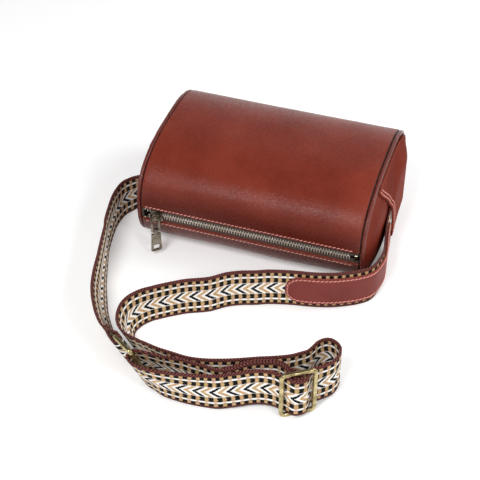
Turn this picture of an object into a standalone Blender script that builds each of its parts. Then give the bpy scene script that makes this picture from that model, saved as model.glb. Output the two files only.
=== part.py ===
"""Pillow bag with a front zip, piped ends and a woven shoulder strap, built as separate pieces.

Metres. The bag lies on its back panel: X runs along the bag, the zip faces -Y, +Z is up, and the
origin is the centre of the flat underside. The strap stands on its edge in front of the bag.
"""

import math

import bmesh
import bpy
from mathutils import Matrix, Vector

# Bag body: the section is a rounded rectangle, pressed flat where it rests
BAG_LENGTH = 0.190
BAG_DEPTH = 0.1448
BAG_HEIGHT = 0.087
SECTION_POWER_SHARE = 2.7
UNDERSIDE_SAG = 0.0012
SECTION_STEPS = 52

# Layers of the body, from the outside in, and the gap kept between neighbours
LEATHER = 0.0014
BACKING = 0.0010
LINING = 0.0005
FIT = 0.0003

# End panels, stiffeners and strap pockets: shares are (size of the section, part of the bulge)
PIPING_RADIUS = 0.0017
PANEL_BULGE = 0.0036
PANEL_DOME_SHARES = ((0.985, 0.0), (0.93, 0.45), (0.80, 0.80), (0.60, 0.95), (0.30, 1.0))
STIFFENER = 0.0008
POCKET_LEATHER = 0.0013
POCKET_BULGE = 0.0050
RIM_STEP = 0.0007
POCKET_DOME_SHARES = ((0.985, 0.0), (0.97, 0.6), (0.93, 0.95), (0.85, 1.0), (0.40, 1.0))
RIM_INSET = 0.0016
# Free edge of the pocket, from top to bottom: shares of half the depth and of the height
POCKET_EDGE_SHARES = (
    (-0.52, 0.97),
    (-0.42, 0.84),
    (-0.28, 0.70),
    (-0.14, 0.52),
    (-0.04, 0.33),
    (0.00, 0.16),
    (0.03, 0.01),
)
DOME_STEPS = 40
CUT_OVERRUN = 0.004
JOIN_DISTANCE = 0.00001

# Inner slip pocket
SLIP_POCKET_LENGTH = 0.104
SLIP_POCKET_WIDTH = 0.046
SLIP_POCKET_CORNER = 0.008
# How far the lining's edges stay clear of the slider
LINING_CLEARANCE = 0.0037

# Zip: tapes, bead and teeth
ZIP_HEIGHT = 0.0395
ZIP_SLOT_HALF = 0.0059
TAPE_REACH = 0.0145
TAPE_THICKNESS = 0.0006
CHAIN_END_GAP = 0.0045
TOOTH_PITCH = 0.00225
TOOTH_THICKNESS = 0.0008
TOOTH_DEPTH = 0.0028
TOOTH_LEG = 0.0030
TOOTH_NOSE = 0.0008
NOSE_SHARE = 0.45
BEAD_INNER = 0.0013
BEAD_DEPTH = 0.0016
PARTED_HALF = 0.0021
PARTED_LENGTH = 0.0130
MESH_POINT = 0.0030
STOP_LENGTH = 0.0026

# Slider, crown and pull
SLIDER_FROM_END = 0.016
SLIDER_LENGTH = 0.0105
SLIDER_FRONT_HALF = 0.0056
SLIDER_REAR_HALF = 0.0042
SLIDER_PLATE = 0.0009
SLIDER_FLANGE = 0.0006
SLIDER_ROOM = 0.0017
TAPE_SLOT_HALF = 0.0009
WEDGE_HALF = 0.00035
WEDGE_LENGTH = 0.0016
CROWN_LENGTH = 0.0100
CROWN_BAR = 0.0015
CROWN_POST = 0.0012
CROWN_AXIS_HEIGHT = 0.0035
PULL_TURN_DEGREES = 40.0
LINK_HALF = 0.0038
LINK_LEG = 0.0014
LINK_THICKNESS = 0.0014
LINK_TOP_ROOM = 0.00135
LINK_DROP = 0.0125
LINK_CORNER = 0.0008
TAB_LENGTH = 0.0220
TAB_TOP_HALF = 0.0040
TAB_BOTTOM_HALF = 0.0048
TAB_THICKNESS = 0.0013
TAB_EYE_INNER = 0.00135
TAB_EYE_WALL = 0.0007
TAB_EYE_LENGTH = 0.0036
TAB_SLOT_WIDTH = 0.0052
TAB_SLOT_HEIGHT = 0.0050
TAB_SLOT_MARGIN = 0.0018
TAB_CORNER = 0.0009

# Webbing and how it lies: the lay runs from the bag's front towards the viewer
WEBBING_WIDTH = 0.038
WEBBING = 0.0018
LAY_DEPTH = 0.1627
ANCHOR_HEIGHT = 0.040
PLY_GAP = 0.00045
FOLD_SPREAD_START = 0.0025
FOLD_SPREAD_END = 0.0110
RIGHT_FLARE = 0.0056
LEFT_FLARE = 0.0221
STATION_STEP = 0.0035
# How far a run is lifted where it nears a buckle, and over what length it comes down
LIFT_REACH = 0.060
RING_LIFT_SHORT = 0.0038
RING_LIFT_FRONT = 0.0024
RING_LIFT_REAR = 0.0054
GLIDE_LIFT = 0.0038
LOOP_FIT = 0.0006

# Leather tab on the long strap
TAB_PATCH = 0.0012
TAB_PATCH_WIDTH = 0.028
TAB_PATCH_START = 0.043
TAB_PATCH_LENGTH = 0.135

# Ring between the two straps; the spare is how much taller than the webbing is wide
RING_WIDTH = 0.0260
RING_SPARE = 0.0085
RING_WIRE_RADIUS = 0.0017
RING_CORNER = 0.0040
RING_PLACE_SHARES = (-0.488, 0.851)
RING_TURN_DEGREES = -33.8
RING_LEAN_DEGREES = 22.0
SHORT_TAIL = 0.0170
RING_LOOP_HALF = 0.0047
RING_LOOP_ROOM = 0.00465
# The loop's width against its depth, and where its two ends leave it
LOOP_ROUND_SHARE = 0.9
LOOP_LEAVE_SHARES = (0.95, 1.6)

# Tri-glide
GLIDE_WIDTH = 0.0290
GLIDE_SPARE = 0.0082
GLIDE_BAR_RADIUS = 0.0018
GLIDE_CORNER = 0.0030
GLIDE_PLACE_SHARES = (0.863, 0.826)
GLIDE_TURN_DEGREES = 33.0
GLIDE_PLAY = 0.0014
FOLD_TAIL = 0.0600

# Places of the webbing beside the ends: shares of half the depth, of the flare, and of the drop
RIGHT_BESIDE_SHARES = (
    (0.387, 0.0, 1.0),
    (0.138, 0.0, 0.81),
    (-0.07, 0.0, 0.38),
    (-0.17, 0.04, 0.22),
    (-0.28, 0.17, 0.12),
    (-0.414, 0.41, 0.05),
    (-0.58, 0.76, 0.0),
    (-0.746, 1.0, 0.0),
    (-0.912, 0.70, 0.0),
)
LEFT_BESIDE_SHARES = (
    (0.387, 0.0, 1.0),
    (0.166, 0.0, 0.71),
    (-0.055, 0.0, 0.36),
    (-0.17, 0.06, 0.15),
    (-0.28, 0.36, 0.03),
    (-0.40, 0.70, 0.0),
    (-0.525, 0.94, 0.0),
    (-0.69, 1.0, 0.0),
    (-0.856, 0.955, 0.0),
)
# Places of the webbing on the table: shares of half the length, of the lay's depth, and of the lean
BACK_RUN_SHARES = (
    (1.093, 0.013, 0.0),
    (1.011, 0.056, 0.0),
    (0.916, 0.088, 0.0),
    (0.821, 0.114, 0.0),
    (0.721, 0.133, 0.0),
    (0.621, 0.147, 0.0),
    (0.463, 0.164, 0.0),
    (0.295, 0.191, 0.0),
    (0.195, 0.216, 0.0),
    (0.066, 0.243, 0.0),
    (-0.042, 0.277, 0.0),
    (-0.158, 0.332, 0.0),
    (-0.321, 0.377, 0.0),
    (-0.407, 0.408, 0.0),
    (-0.488, 0.441, 0.0),
    (-0.574, 0.480, 0.0),
    (-0.642, 0.522, 0.15),
    (-0.688, 0.573, 0.35),
    (-0.696, 0.618, 0.60),
    (-0.680, 0.657, 0.85),
    (-0.653, 0.691, 1.0),
    (-0.624, 0.719, 1.0),
    (-0.586, 0.740, 1.0),
    (-0.530, 0.755, 1.0),
    (-0.415, 0.772, 1.0),
    (-0.278, 0.800, 0.80),
    (-0.153, 0.818, 0.60),
    (-0.024, 0.833, 0.40),
    (0.094, 0.831, 0.25),
    (0.218, 0.817, 0.10),
    (0.360, 0.790, 0.0),
    (0.496, 0.755, 0.0),
    (0.633, 0.723, 0.0),
    (0.735, 0.694, 0.0),
    (0.797, 0.667, 0.0),
    (0.848, 0.643, 0.0),
    (0.874, 0.614, 0.0),
    (0.902, 0.580, 0.0),
    (0.947, 0.558, 0.0),
    (1.000, 0.555, 0.0),
    (1.055, 0.573, 0.0),
    (1.091, 0.603, 0.0),
    (1.095, 0.646, 0.0),
    (1.068, 0.692, 0.0),
)
FRONT_RUN_SHARES = (
    (0.674, 0.837, 0.0),
    (0.584, 0.841, 0.0),
    (0.505, 0.855, 0.0),
    (0.431, 0.875, 0.0),
    (0.353, 0.895, 0.0),
    (0.253, 0.919, 0.05),
    (0.145, 0.931, 0.15),
    (0.026, 0.944, 0.30),
    (-0.090, 0.952, 0.45),
    (-0.203, 0.954, 0.65),
    (-0.290, 0.944, 0.90),
)
MIDDLE_RUN_SHARES = (
    (-0.197, 0.872, 0.75),
    (-0.116, 0.876, 0.55),
    (-0.036, 0.878, 0.35),
    (0.045, 0.884, 0.20),
    (0.147, 0.887, 0.10),
    (0.239, 0.894, 0.0),
    (0.328, 0.880, 0.0),
    (0.392, 0.855, 0.0),
    (0.432, 0.835, 0.0),
    (0.497, 0.811, 0.0),
    (0.542, 0.800, 0.0),
)
SHORT_RUN_SHARES = (
    (-1.262, 0.075, 0.0),
    (-1.226, 0.139, 0.0),
    (-1.174, 0.243, 0.14),
    (-1.121, 0.342, 0.28),
    (-1.063, 0.440, 0.55),
    (-0.995, 0.538, 0.75),
    (-0.921, 0.618, 0.90),
    (-0.837, 0.692, 1.0),
)
# Places at the buckles: shares of the loop's radius on the short strap, and of the bar's place
SHORT_LEAD_SHARES = ((-6.4, 0.12), (-3.7, 0.32), (-1.8, 0.78), (0.0, 1.0))
HUMP_SHARES = (
    (1.45, -1.25),
    (1.0, -1.12),
    (0.82, -0.92),
    (0.66, -0.25),
    (0.54, 0.25),
    (0.40, 0.74),
    (0.22, 0.97),
    (0.0, 1.0),
)
FOLD_LEAD_SHARES = (
    (-1.14, -1.38),
    (-0.76, -1.15),
    (-0.545, -0.835),
    (-0.44, -0.52),
    (-0.345, -0.235),
)

# Worked out from the sizes above
HALF_LENGTH = BAG_LENGTH / 2
HALF_DEPTH = BAG_DEPTH / 2
MID_HEIGHT = BAG_HEIGHT / 2
BACKING_INSET = LEATHER + FIT
LINING_INSET = BACKING_INSET + BACKING + FIT
WRAP_END = HALF_LENGTH - PIPING_RADIUS - FIT
LINING_END = WRAP_END - LINING
PANEL_INNER = HALF_LENGTH + PIPING_RADIUS + FIT
PANEL_OUTER = PANEL_INNER + LEATHER
POCKET_INNER = PANEL_OUTER + FIT + RIM_STEP
POCKET_OUTER = POCKET_INNER + POCKET_BULGE + POCKET_LEATHER
STRAP_AT_END = PANEL_OUTER + PANEL_BULGE + FIT + WEBBING / 2
FRONT = -HALF_DEPTH
CHAIN_Y = FRONT + LEATHER + FIT + TAPE_THICKNESS / 2
CHAIN_END = WRAP_END - CHAIN_END_GAP
SLIDER_X = SLIDER_FROM_END - HALF_LENGTH
PLATE_FRONT = CHAIN_Y - SLIDER_ROOM - SLIDER_PLATE
CROWN_AXIS_Y = PLATE_FRONT - CROWN_AXIS_HEIGHT
RING_HEIGHT = WEBBING_WIDTH + RING_SPARE
GLIDE_HEIGHT = WEBBING_WIDTH + GLIDE_SPARE
LEAN_MAX = WEBBING_WIDTH * math.sin(math.radians(RING_LEAN_DEGREES))

LEATHER_LOOK = ((0.28, 0.055, 0.03), 0.42, 0.0)
DARK_LEATHER_LOOK = ((0.22, 0.04, 0.025), 0.45, 0.0)
BACKING_LOOK = ((0.45, 0.40, 0.33), 0.9, 0.0)
LINING_LOOK = ((0.20, 0.15, 0.11), 0.85, 0.0)
TAPE_LOOK = ((0.10, 0.06, 0.04), 0.85, 0.0)
METAL_LOOK = ((0.36, 0.32, 0.25), 0.35, 1.0)
BRASS_LOOK = ((0.42, 0.36, 0.18), 0.38, 1.0)
WEBBING_LOOK = ((0.45, 0.32, 0.22), 0.8, 0.0)


# Scene set-up


def clear_scene():
    for item in list(bpy.data.objects):
        bpy.data.objects.remove(item)


def new_collection(name):
    made = bpy.data.collections.new(name)
    bpy.context.scene.collection.children.link(made)
    return made


def new_material(name, look):
    colour, roughness, metallic = look
    made = bpy.data.materials.new(name)
    made.use_nodes = True
    shader = made.node_tree.nodes["Principled BSDF"]
    shader.inputs["Base Color"].default_value = (*colour, 1.0)
    shader.inputs["Roughness"].default_value = roughness
    shader.inputs["Metallic"].default_value = metallic
    return made


def place_mesh(name, bm, look, group="parts"):
    """Puts a bmesh in the scene as one named object with its own material."""
    mesh = bpy.data.meshes.new(name)
    bm.to_mesh(mesh)
    bm.free()
    mesh.shade_smooth()
    mesh.set_sharp_from_angle(angle=math.radians(40))
    made = bpy.data.objects.new(name, mesh)
    GROUPS[group].objects.link(made)
    made.data.materials.append(new_material(name, look))
    if group == "cutters":
        made.hide_render = True
        made.display_type = "WIRE"
    return made


def thicken(piece, thickness, offset=-1.0):
    wall = piece.modifiers.new("Wall", "SOLIDIFY")
    wall.thickness = thickness
    wall.offset = offset
    wall.use_even_offset = True


def combine(piece, other, operation):
    step = piece.modifiers.new(operation.title(), "BOOLEAN")
    step.operation = operation
    step.solver = "EXACT"
    step.object = other


def ease_edges(piece, width):
    edge = piece.modifiers.new("Edge", "BEVEL")
    edge.width = width
    edge.segments = 1
    edge.limit_method = "ANGLE"


# Section of the bag


def signed_power(value, power):
    return math.copysign(abs(value) ** power, value)


def section_point(angle, inset=0.0, size=1.0):
    """A point (y, z) of the section; angle 0 is the middle of the front and grows over the top."""
    power = 2 / SECTION_POWER_SHARE
    across = signed_power(math.cos(angle), power)
    upward = signed_power(math.sin(angle), power)
    half_depth = HALF_DEPTH - inset
    reach = MID_HEIGHT - inset if upward > 0 else MID_HEIGHT + UNDERSIDE_SAG - inset
    z = max(MID_HEIGHT + reach * upward, inset)
    return -half_depth * across * size, MID_HEIGHT + (z - MID_HEIGHT) * size


def front_angle(z, inset=0.0):
    """The angle at which the front of the section is at height z."""
    rise = z - MID_HEIGHT
    reach = MID_HEIGHT - inset if rise > 0 else MID_HEIGHT + UNDERSIDE_SAG - inset
    return math.asin(signed_power(rise / reach, SECTION_POWER_SHARE / 2))


def open_section(inset, slot_half):
    """The section from the slot's upper edge over the top and back to its lower edge."""
    start = front_angle(ZIP_HEIGHT + slot_half, inset)
    end = math.tau + front_angle(ZIP_HEIGHT - slot_half, inset)
    span = (end - start) / SECTION_STEPS
    return [section_point(start + span * i, inset) for i in range(SECTION_STEPS + 1)]


def closed_section(steps, inset=0.0, size=1.0):
    return [section_point(math.tau * i / steps, inset, size) for i in range(steps)]


# Sheets and solids


def face_away(bm, centre):
    """Turns an open sheet so that its faces point away from a point."""
    bm.normal_update()
    facing = sum((f.calc_center_median() - centre).dot(f.normal) * f.calc_area() for f in bm.faces)
    if facing < 0:
        bmesh.ops.reverse_faces(bm, faces=bm.faces)


def chain_of(bm, points, closed=False):
    """A row of vertices joined by edges."""
    row = [bm.verts.new(p) for p in points]
    pairs = zip(row, row[1:] + row[:1]) if closed else zip(row, row[1:])
    return row, [bm.edges.new(pair) for pair in pairs]


def extrude_rows(bm, rows, closed=False):
    """Extrudes a row of points through the rows that follow it, and gives the last row's edges."""
    _, edges = chain_of(bm, rows[0], closed)
    for points in rows[1:]:
        made = bmesh.ops.extrude_edge_only(bm, edges=edges)["geom"]
        verts = [g for g in made if isinstance(g, bmesh.types.BMVert)]
        edges = [g for g in made if isinstance(g, bmesh.types.BMEdge)]
        edges = [e for e in edges if e.verts[0] in verts and e.verts[1] in verts]
        for vert, point in zip(verts, points):
            vert.co = point
    return edges


def lengthwise_sheet(name, outline, x_from, x_to, thickness, look):
    """A wall that follows an open (y, z) outline along X, its thickness going inwards."""
    bm = bmesh.new()
    _, edges = chain_of(bm, [(x_from, y, z) for y, z in outline])
    moved = bmesh.ops.extrude_edge_only(bm, edges=edges)["geom"]
    verts = [g for g in moved if isinstance(g, bmesh.types.BMVert)]
    bmesh.ops.translate(bm, verts=verts, vec=(x_to - x_from, 0, 0))
    face_away(bm, Vector((0, 0, MID_HEIGHT)))
    piece = place_mesh(name, bm, look)
    thicken(piece, thickness)
    return piece


def end_dome(name, side, x_from, bulge, shares, inset, thickness, look):
    """A dished panel over the end of the bag: rings of the section, closed by a fan at the middle."""
    bm = bmesh.new()
    rings = []
    for size, part in shares:
        x = side * (x_from + bulge * part)
        rings.append([(x, y, z) for y, z in closed_section(DOME_STEPS, inset, size)])
    edges = extrude_rows(bm, rings, closed=True)
    middle = bm.verts.new((side * (x_from + bulge), 0, MID_HEIGHT))
    for edge in edges:
        bm.faces.new((edge.verts[0], edge.verts[1], middle))
    bmesh.ops.recalc_face_normals(bm, faces=bm.faces)
    face_away(bm, Vector((side * (x_from - BAG_HEIGHT), 0, MID_HEIGHT)))
    piece = place_mesh(name, bm, look)
    thicken(piece, thickness, offset=1.0)
    return piece


def prism(name, outline, axis, low, high, look, group="parts"):
    """A flat outline pushed along one axis. Outline points are the other two coordinates in order."""
    bm = bmesh.new()
    others = [a for a in range(3) if a != axis]
    points = []
    for pair in outline:
        point = [0.0, 0.0, 0.0]
        point[axis] = low
        point[others[0]], point[others[1]] = pair
        points.append(bm.verts.new(point))
    face = bm.faces.new(points)
    made = bmesh.ops.extrude_face_region(bm, geom=[face])["geom"]
    push = [0.0, 0.0, 0.0]
    push[axis] = high - low
    verts = [g for g in made if isinstance(g, bmesh.types.BMVert)]
    bmesh.ops.translate(bm, verts=verts, vec=push)
    bmesh.ops.recalc_face_normals(bm, faces=bm.faces)
    return place_mesh(name, bm, look, group)


def block(name, low, high, look, group="parts"):
    """A box between two corners."""
    bm = bmesh.new()
    bmesh.ops.create_cube(bm, size=1.0)
    middle = [(a + b) / 2 for a, b in zip(low, high)]
    sides = [b - a for a, b in zip(low, high)]
    bmesh.ops.scale(bm, verts=bm.verts, vec=sides)
    bmesh.ops.translate(bm, verts=bm.verts, vec=middle)
    return place_mesh(name, bm, look, group)


def rounded_rectangle(half_width, half_height, corner, steps=4):
    """Points of a rounded rectangle round its middle, anticlockwise."""
    points = []
    for quarter in range(4):
        sx = 1 if quarter in (0, 3) else -1
        sy = 1 if quarter in (0, 1) else -1
        for i in range(steps + 1):
            angle = math.pi / 2 * (quarter + i / steps)
            x = sx * (half_width - corner) + corner * math.cos(angle)
            y = sy * (half_height - corner) + corner * math.sin(angle)
            points.append((x, y))
    return points


def wire_loop(name, points, radius, look, cyclic=True):
    """A round wire through the points given."""
    curve = bpy.data.curves.new(name, "CURVE")
    curve.dimensions = "3D"
    curve.bevel_depth = radius
    curve.bevel_resolution = 2
    curve.use_fill_caps = not cyclic
    spline = curve.splines.new("POLY")
    spline.points.add(len(points) - 1)
    for spot, point in zip(spline.points, points):
        spot.co = (*point, 1.0)
    spline.use_cyclic_u = cyclic
    made = bpy.data.objects.new(name, curve)
    GROUPS["parts"].objects.link(made)
    curve.materials.append(new_material(name, look))
    return made


def as_mesh(curve_object, group="parts"):
    """Replaces a curve object by its closed mesh, so that it can be cut or joined."""
    seen = curve_object.evaluated_get(bpy.context.evaluated_depsgraph_get())
    mesh = bpy.data.meshes.new_from_object(seen)
    name = curve_object.name
    bm = bmesh.new()
    bm.from_mesh(mesh)
    bmesh.ops.remove_doubles(bm, verts=bm.verts, dist=JOIN_DISTANCE)
    bm.to_mesh(mesh)
    bm.free()
    place = curve_object.matrix_world.copy()
    bpy.data.objects.remove(curve_object)
    made = bpy.data.objects.new(name, mesh)
    made.matrix_world = place
    GROUPS[group].objects.link(made)
    if group == "cutters":
        made.hide_render = True
        made.display_type = "WIRE"
    return made


# Body of the bag


def build_body():
    wrap = open_section(0.0, ZIP_SLOT_HALF)
    lengthwise_sheet("body_wrap", wrap, -WRAP_END, WRAP_END, LEATHER, LEATHER_LOOK)
    backing = open_section(BACKING_INSET, TAPE_REACH + FIT)
    lengthwise_sheet("wrap_backing", backing, -WRAP_END, WRAP_END, BACKING, BACKING_LOOK)
    lining_slot = SLIDER_FRONT_HALF + LINING_CLEARANCE
    lining = open_section(LINING_INSET, lining_slot)
    lengthwise_sheet("lining_wrap", lining, -LINING_END, LINING_END, LINING, LINING_LOOK)
    slip = prism(
        "inner_slip_pocket",
        rounded_rectangle(SLIP_POCKET_LENGTH / 2, SLIP_POCKET_WIDTH / 2, SLIP_POCKET_CORNER),
        2,
        LINING_INSET + LINING + FIT,
        LINING_INSET + LINING + FIT + LINING,
        LINING_LOOK,
    )
    return slip


def build_end(side, word):
    piping = [(side * HALF_LENGTH, y, z) for y, z in closed_section(DOME_STEPS, PIPING_RADIUS)]
    wire_loop(f"piping_{word}", piping, PIPING_RADIUS, DARK_LEATHER_LOOK)
    end_dome(
        f"end_panel_{word}",
        side,
        PANEL_INNER,
        PANEL_BULGE,
        PANEL_DOME_SHARES,
        RIM_INSET / 2,
        LEATHER,
        LEATHER_LOOK,
    )
    end_dome(
        f"end_stiffener_{word}",
        side,
        PANEL_INNER - STIFFENER - FIT,
        PANEL_BULGE,
        PANEL_DOME_SHARES[1:],
        RIM_INSET / 2,
        STIFFENER,
        BACKING_LOOK,
    )
    lining = [(y, z) for y, z in closed_section(DOME_STEPS, LINING_INSET)]
    low, high = sorted((side * (LINING_END + FIT), side * (LINING_END + FIT + LINING)))
    prism(f"lining_end_{word}", lining, 0, low, high, LINING_LOOK)


def build_strap_pocket(side, word):
    pocket = end_dome(
        f"strap_pocket_{word}",
        side,
        POCKET_INNER,
        POCKET_BULGE,
        POCKET_DOME_SHARES,
        RIM_INSET,
        POCKET_LEATHER,
        LEATHER_LOOK,
    )
    edge = [(y * HALF_DEPTH, z * BAG_HEIGHT) for y, z in POCKET_EDGE_SHARES]
    beyond_front = FRONT - CUT_OVERRUN
    outline = (
        [(beyond_front, BAG_HEIGHT + CUT_OVERRUN), (edge[0][0], BAG_HEIGHT + CUT_OVERRUN)]
        + edge
        + [(edge[-1][0], -CUT_OVERRUN), (beyond_front, -CUT_OVERRUN)]
    )
    low, high = sorted((side * HALF_LENGTH, side * (POCKET_OUTER + CUT_OVERRUN)))
    cutter = prism(f"pocket_cut_{word}", outline, 0, low, high, LEATHER_LOOK, "cutters")
    combine(pocket, cutter, "DIFFERENCE")


# Zip


def parted(x):
    """How far each half of the chain stands off the middle, to the left of the slider."""
    run = (SLIDER_X + MESH_POINT - x) / PARTED_LENGTH
    if run <= 0:
        return 0.0
    return PARTED_HALF * math.sin(math.pi / 2 * min(run, 1.0))


def tape_stations():
    left = [-CHAIN_END - CHAIN_END_GAP * 0.8]
    count = 6
    left += [
        -CHAIN_END + (PARTED_LENGTH - CHAIN_END_GAP) * i / count for i in range(1, count + 1)
    ]
    return left + [CHAIN_END + CHAIN_END_GAP * 0.8]


def build_tape(word, up):
    """One woven tape: from its edge by the teeth to its edge under the leather."""
    inset = LEATHER + FIT
    inner = TOOTH_LEG + FIT
    steps = 5
    heights = [inner + (TAPE_REACH - inner) * i / steps for i in range(steps + 1)]

    def row(x):
        points = []
        for height in heights:
            near = 1 - (height - inner) / (TAPE_REACH - inner)
            z = ZIP_HEIGHT + up * (height + parted(x) * near)
            y, _ = section_point(front_angle(z, inset), inset)
            points.append((x, y, z))
        return points

    bm = bmesh.new()
    extrude_rows(bm, [row(x) for x in tape_stations()])
    face_away(bm, Vector((0, 0, MID_HEIGHT)))
    piece = place_mesh(f"zip_tape_{word}", bm, TAPE_LOOK)
    thicken(piece, TAPE_THICKNESS)


def tooth_section(up):
    """Outline of a tooth in (y, z) about the chain's middle line, nose towards the other half."""
    half = TOOTH_DEPTH / 2
    shoulder = TOOTH_NOSE
    points = [
        (-half, TOOTH_LEG),
        (-half, shoulder),
        (-half * NOSE_SHARE, -TOOTH_NOSE),
        (half * NOSE_SHARE, -TOOTH_NOSE),
        (half, shoulder),
        (half, TOOTH_LEG),
    ]
    return [(y, up * z) for y, z in points]


def bead_section(up):
    """Outline of the beaded edge between two teeth, point for point like tooth_section."""
    half = BEAD_DEPTH / 2
    outer = TOOTH_LEG - FIT
    points = [
        (-half, outer),
        (-half, BEAD_INNER + half * NOSE_SHARE),
        (-half * NOSE_SHARE, BEAD_INNER),
        (half * NOSE_SHARE, BEAD_INNER),
        (half, BEAD_INNER + half * NOSE_SHARE),
        (half, outer),
    ]
    return [(y, up * z) for y, z in points]


def build_chain(word, up, shift):
    """The beaded edge with its teeth, extruded along X and widened at every tooth."""
    bead, tooth = bead_section(up), tooth_section(up)
    sections = [(-CHAIN_END, bead)]
    count = int((2 * CHAIN_END - TOOTH_PITCH) / TOOTH_PITCH)
    for i in range(count):
        start = -CHAIN_END + TOOTH_PITCH * (i + 1 / 4) + shift
        end = start + TOOTH_THICKNESS
        sections += [(start, bead), (start, tooth), (end, tooth), (end, bead)]
    sections.append((CHAIN_END, bead))

    def place(x, outline):
        lift = up * parted(x)
        return [(x, CHAIN_Y + y, ZIP_HEIGHT + z + lift) for y, z in outline]

    bm = bmesh.new()
    verts = [bm.verts.new(p) for p in place(*sections[0])]
    face = bm.faces.new(verts)
    for x, outline in sections[1:]:
        old = [face, *face.edges, *face.verts]
        made = bmesh.ops.extrude_face_region(bm, geom=old)["geom"]
        face = next(g for g in made if isinstance(g, bmesh.types.BMFace))
        for vert, point in zip(face.verts, place(x, outline)):
            vert.co = point
    bmesh.ops.recalc_face_normals(bm, faces=bm.faces)
    place_mesh(f"zip_chain_{word}", bm, METAL_LOOK)


def build_stops():
    half = TOOTH_DEPTH / 2
    start = CHAIN_END + FIT
    for word, up in (("upper", 1), ("lower", -1)):
        near = ZIP_HEIGHT + up * (PARTED_HALF + BEAD_INNER)
        far = ZIP_HEIGHT + up * (PARTED_HALF + TOOTH_LEG - FIT)
        low, high = sorted((near, far))
        stop = block(
            f"zip_top_stop_{word}",
            (-start - STOP_LENGTH, CHAIN_Y - half, low),
            (-start, CHAIN_Y + half, high),
            METAL_LOOK,
        )
        ease_edges(stop, STOP_LENGTH / 8)
    stop = block(
        "zip_bottom_stop",
        (start, CHAIN_Y - half, ZIP_HEIGHT - TOOTH_LEG),
        (start + STOP_LENGTH, CHAIN_Y + half, ZIP_HEIGHT + TOOTH_LEG),
        METAL_LOOK,
    )
    ease_edges(stop, STOP_LENGTH / 8)


# Slider and pull


def slider_outline(margin=0.0):
    """Plan of the slider in (x, z) about its own middle: wide at the left, narrower at the right."""
    half = SLIDER_LENGTH / 2 - margin
    front, rear = SLIDER_FRONT_HALF - margin, SLIDER_REAR_HALF - margin
    corner = SLIDER_LENGTH / 6
    upper = [
        (-half, front - corner),
        (-half + corner / 2, front - corner / 4),
        (-half + corner, front),
        (-corner / 2, front),
        (corner, rear),
        (half - corner / 2, rear),
        (half, rear - corner / 2),
    ]
    lower = [(x, -z) for x, z in reversed(upper)]
    return upper + lower


def at_slider(outline):
    return [(SLIDER_X + x, ZIP_HEIGHT + z) for x, z in outline]


def build_slider():
    """Two plates with turned-in flanges, held together by the wedge between the rows of teeth."""
    front = PLATE_FRONT
    back = CHAIN_Y + SLIDER_ROOM + SLIDER_PLATE
    body = prism("slider_body", at_slider(slider_outline()), 1, front, back, METAL_LOOK)
    inner = [
        (-SLIDER_LENGTH, -SLIDER_FRONT_HALF + SLIDER_FLANGE),
        (-SLIDER_LENGTH / 12, -SLIDER_FRONT_HALF + SLIDER_FLANGE),
        (SLIDER_LENGTH / 6, -SLIDER_REAR_HALF + SLIDER_FLANGE),
        (SLIDER_LENGTH, -SLIDER_REAR_HALF + SLIDER_FLANGE),
        (SLIDER_LENGTH, SLIDER_REAR_HALF - SLIDER_FLANGE),
        (SLIDER_LENGTH / 6, SLIDER_REAR_HALF - SLIDER_FLANGE),
        (-SLIDER_LENGTH / 12, SLIDER_FRONT_HALF - SLIDER_FLANGE),
        (-SLIDER_LENGTH, SLIDER_FRONT_HALF - SLIDER_FLANGE),
    ]
    channel = prism(
        "slider_channel",
        at_slider(inner),
        1,
        CHAIN_Y - SLIDER_ROOM,
        CHAIN_Y + SLIDER_ROOM,
        METAL_LOOK,
        "cutters",
    )
    combine(body, channel, "DIFFERENCE")
    for word, up in (("upper", 1), ("lower", -1)):
        low, high = sorted((up * TOOTH_LEG * 0.9, up * SLIDER_LENGTH))
        gap = block(
            f"tape_gap_{word}",
            (SLIDER_X - SLIDER_LENGTH, CHAIN_Y - TAPE_SLOT_HALF, ZIP_HEIGHT + low),
            (SLIDER_X + SLIDER_LENGTH, CHAIN_Y + TAPE_SLOT_HALF, ZIP_HEIGHT + high),
            METAL_LOOK,
            "cutters",
        )
        combine(body, gap, "DIFFERENCE")
    wedge_tip = -SLIDER_LENGTH / 2 + SLIDER_PLATE
    wedge = prism(
        "slider_wedge",
        at_slider(
            [
                (wedge_tip, 0.0),
                (wedge_tip + WEDGE_LENGTH / 4, -WEDGE_HALF),
                (wedge_tip + WEDGE_LENGTH, -WEDGE_HALF / 2),
                (wedge_tip + WEDGE_LENGTH, WEDGE_HALF / 2),
                (wedge_tip + WEDGE_LENGTH / 4, WEDGE_HALF),
            ]
        ),
        1,
        front + SLIDER_PLATE / 2,
        back - SLIDER_PLATE / 2,
        METAL_LOOK,
        "cutters",
    )
    combine(body, wedge, "UNION")


def build_crown():
    """The bridge over the slider, along its length; the link hangs on its bar."""
    half = CROWN_LENGTH / 2
    foot = FIT
    under = CROWN_AXIS_HEIGHT - CROWN_BAR / 2
    over = CROWN_AXIS_HEIGHT + CROWN_BAR / 2
    slope = CROWN_POST
    outline = [
        (-half, foot),
        (-half, over - slope),
        (-half + slope, over),
        (half - slope, over),
        (half, over - slope),
        (half, foot),
        (half - CROWN_POST, foot),
        (half - CROWN_POST, under - slope / 4),
        (half - CROWN_POST - slope / 4, under),
        (-half + CROWN_POST + slope / 4, under),
        (-half + CROWN_POST, under - slope / 4),
        (-half + CROWN_POST, foot),
    ]
    placed = [(SLIDER_X + x, PLATE_FRONT - y) for x, y in outline]
    low, high = ZIP_HEIGHT - CROWN_BAR / 2, ZIP_HEIGHT + CROWN_BAR / 2
    crown = prism("slider_crown", placed, 2, low, high, METAL_LOOK)
    ease_edges(crown, CROWN_BAR / 5)


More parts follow.
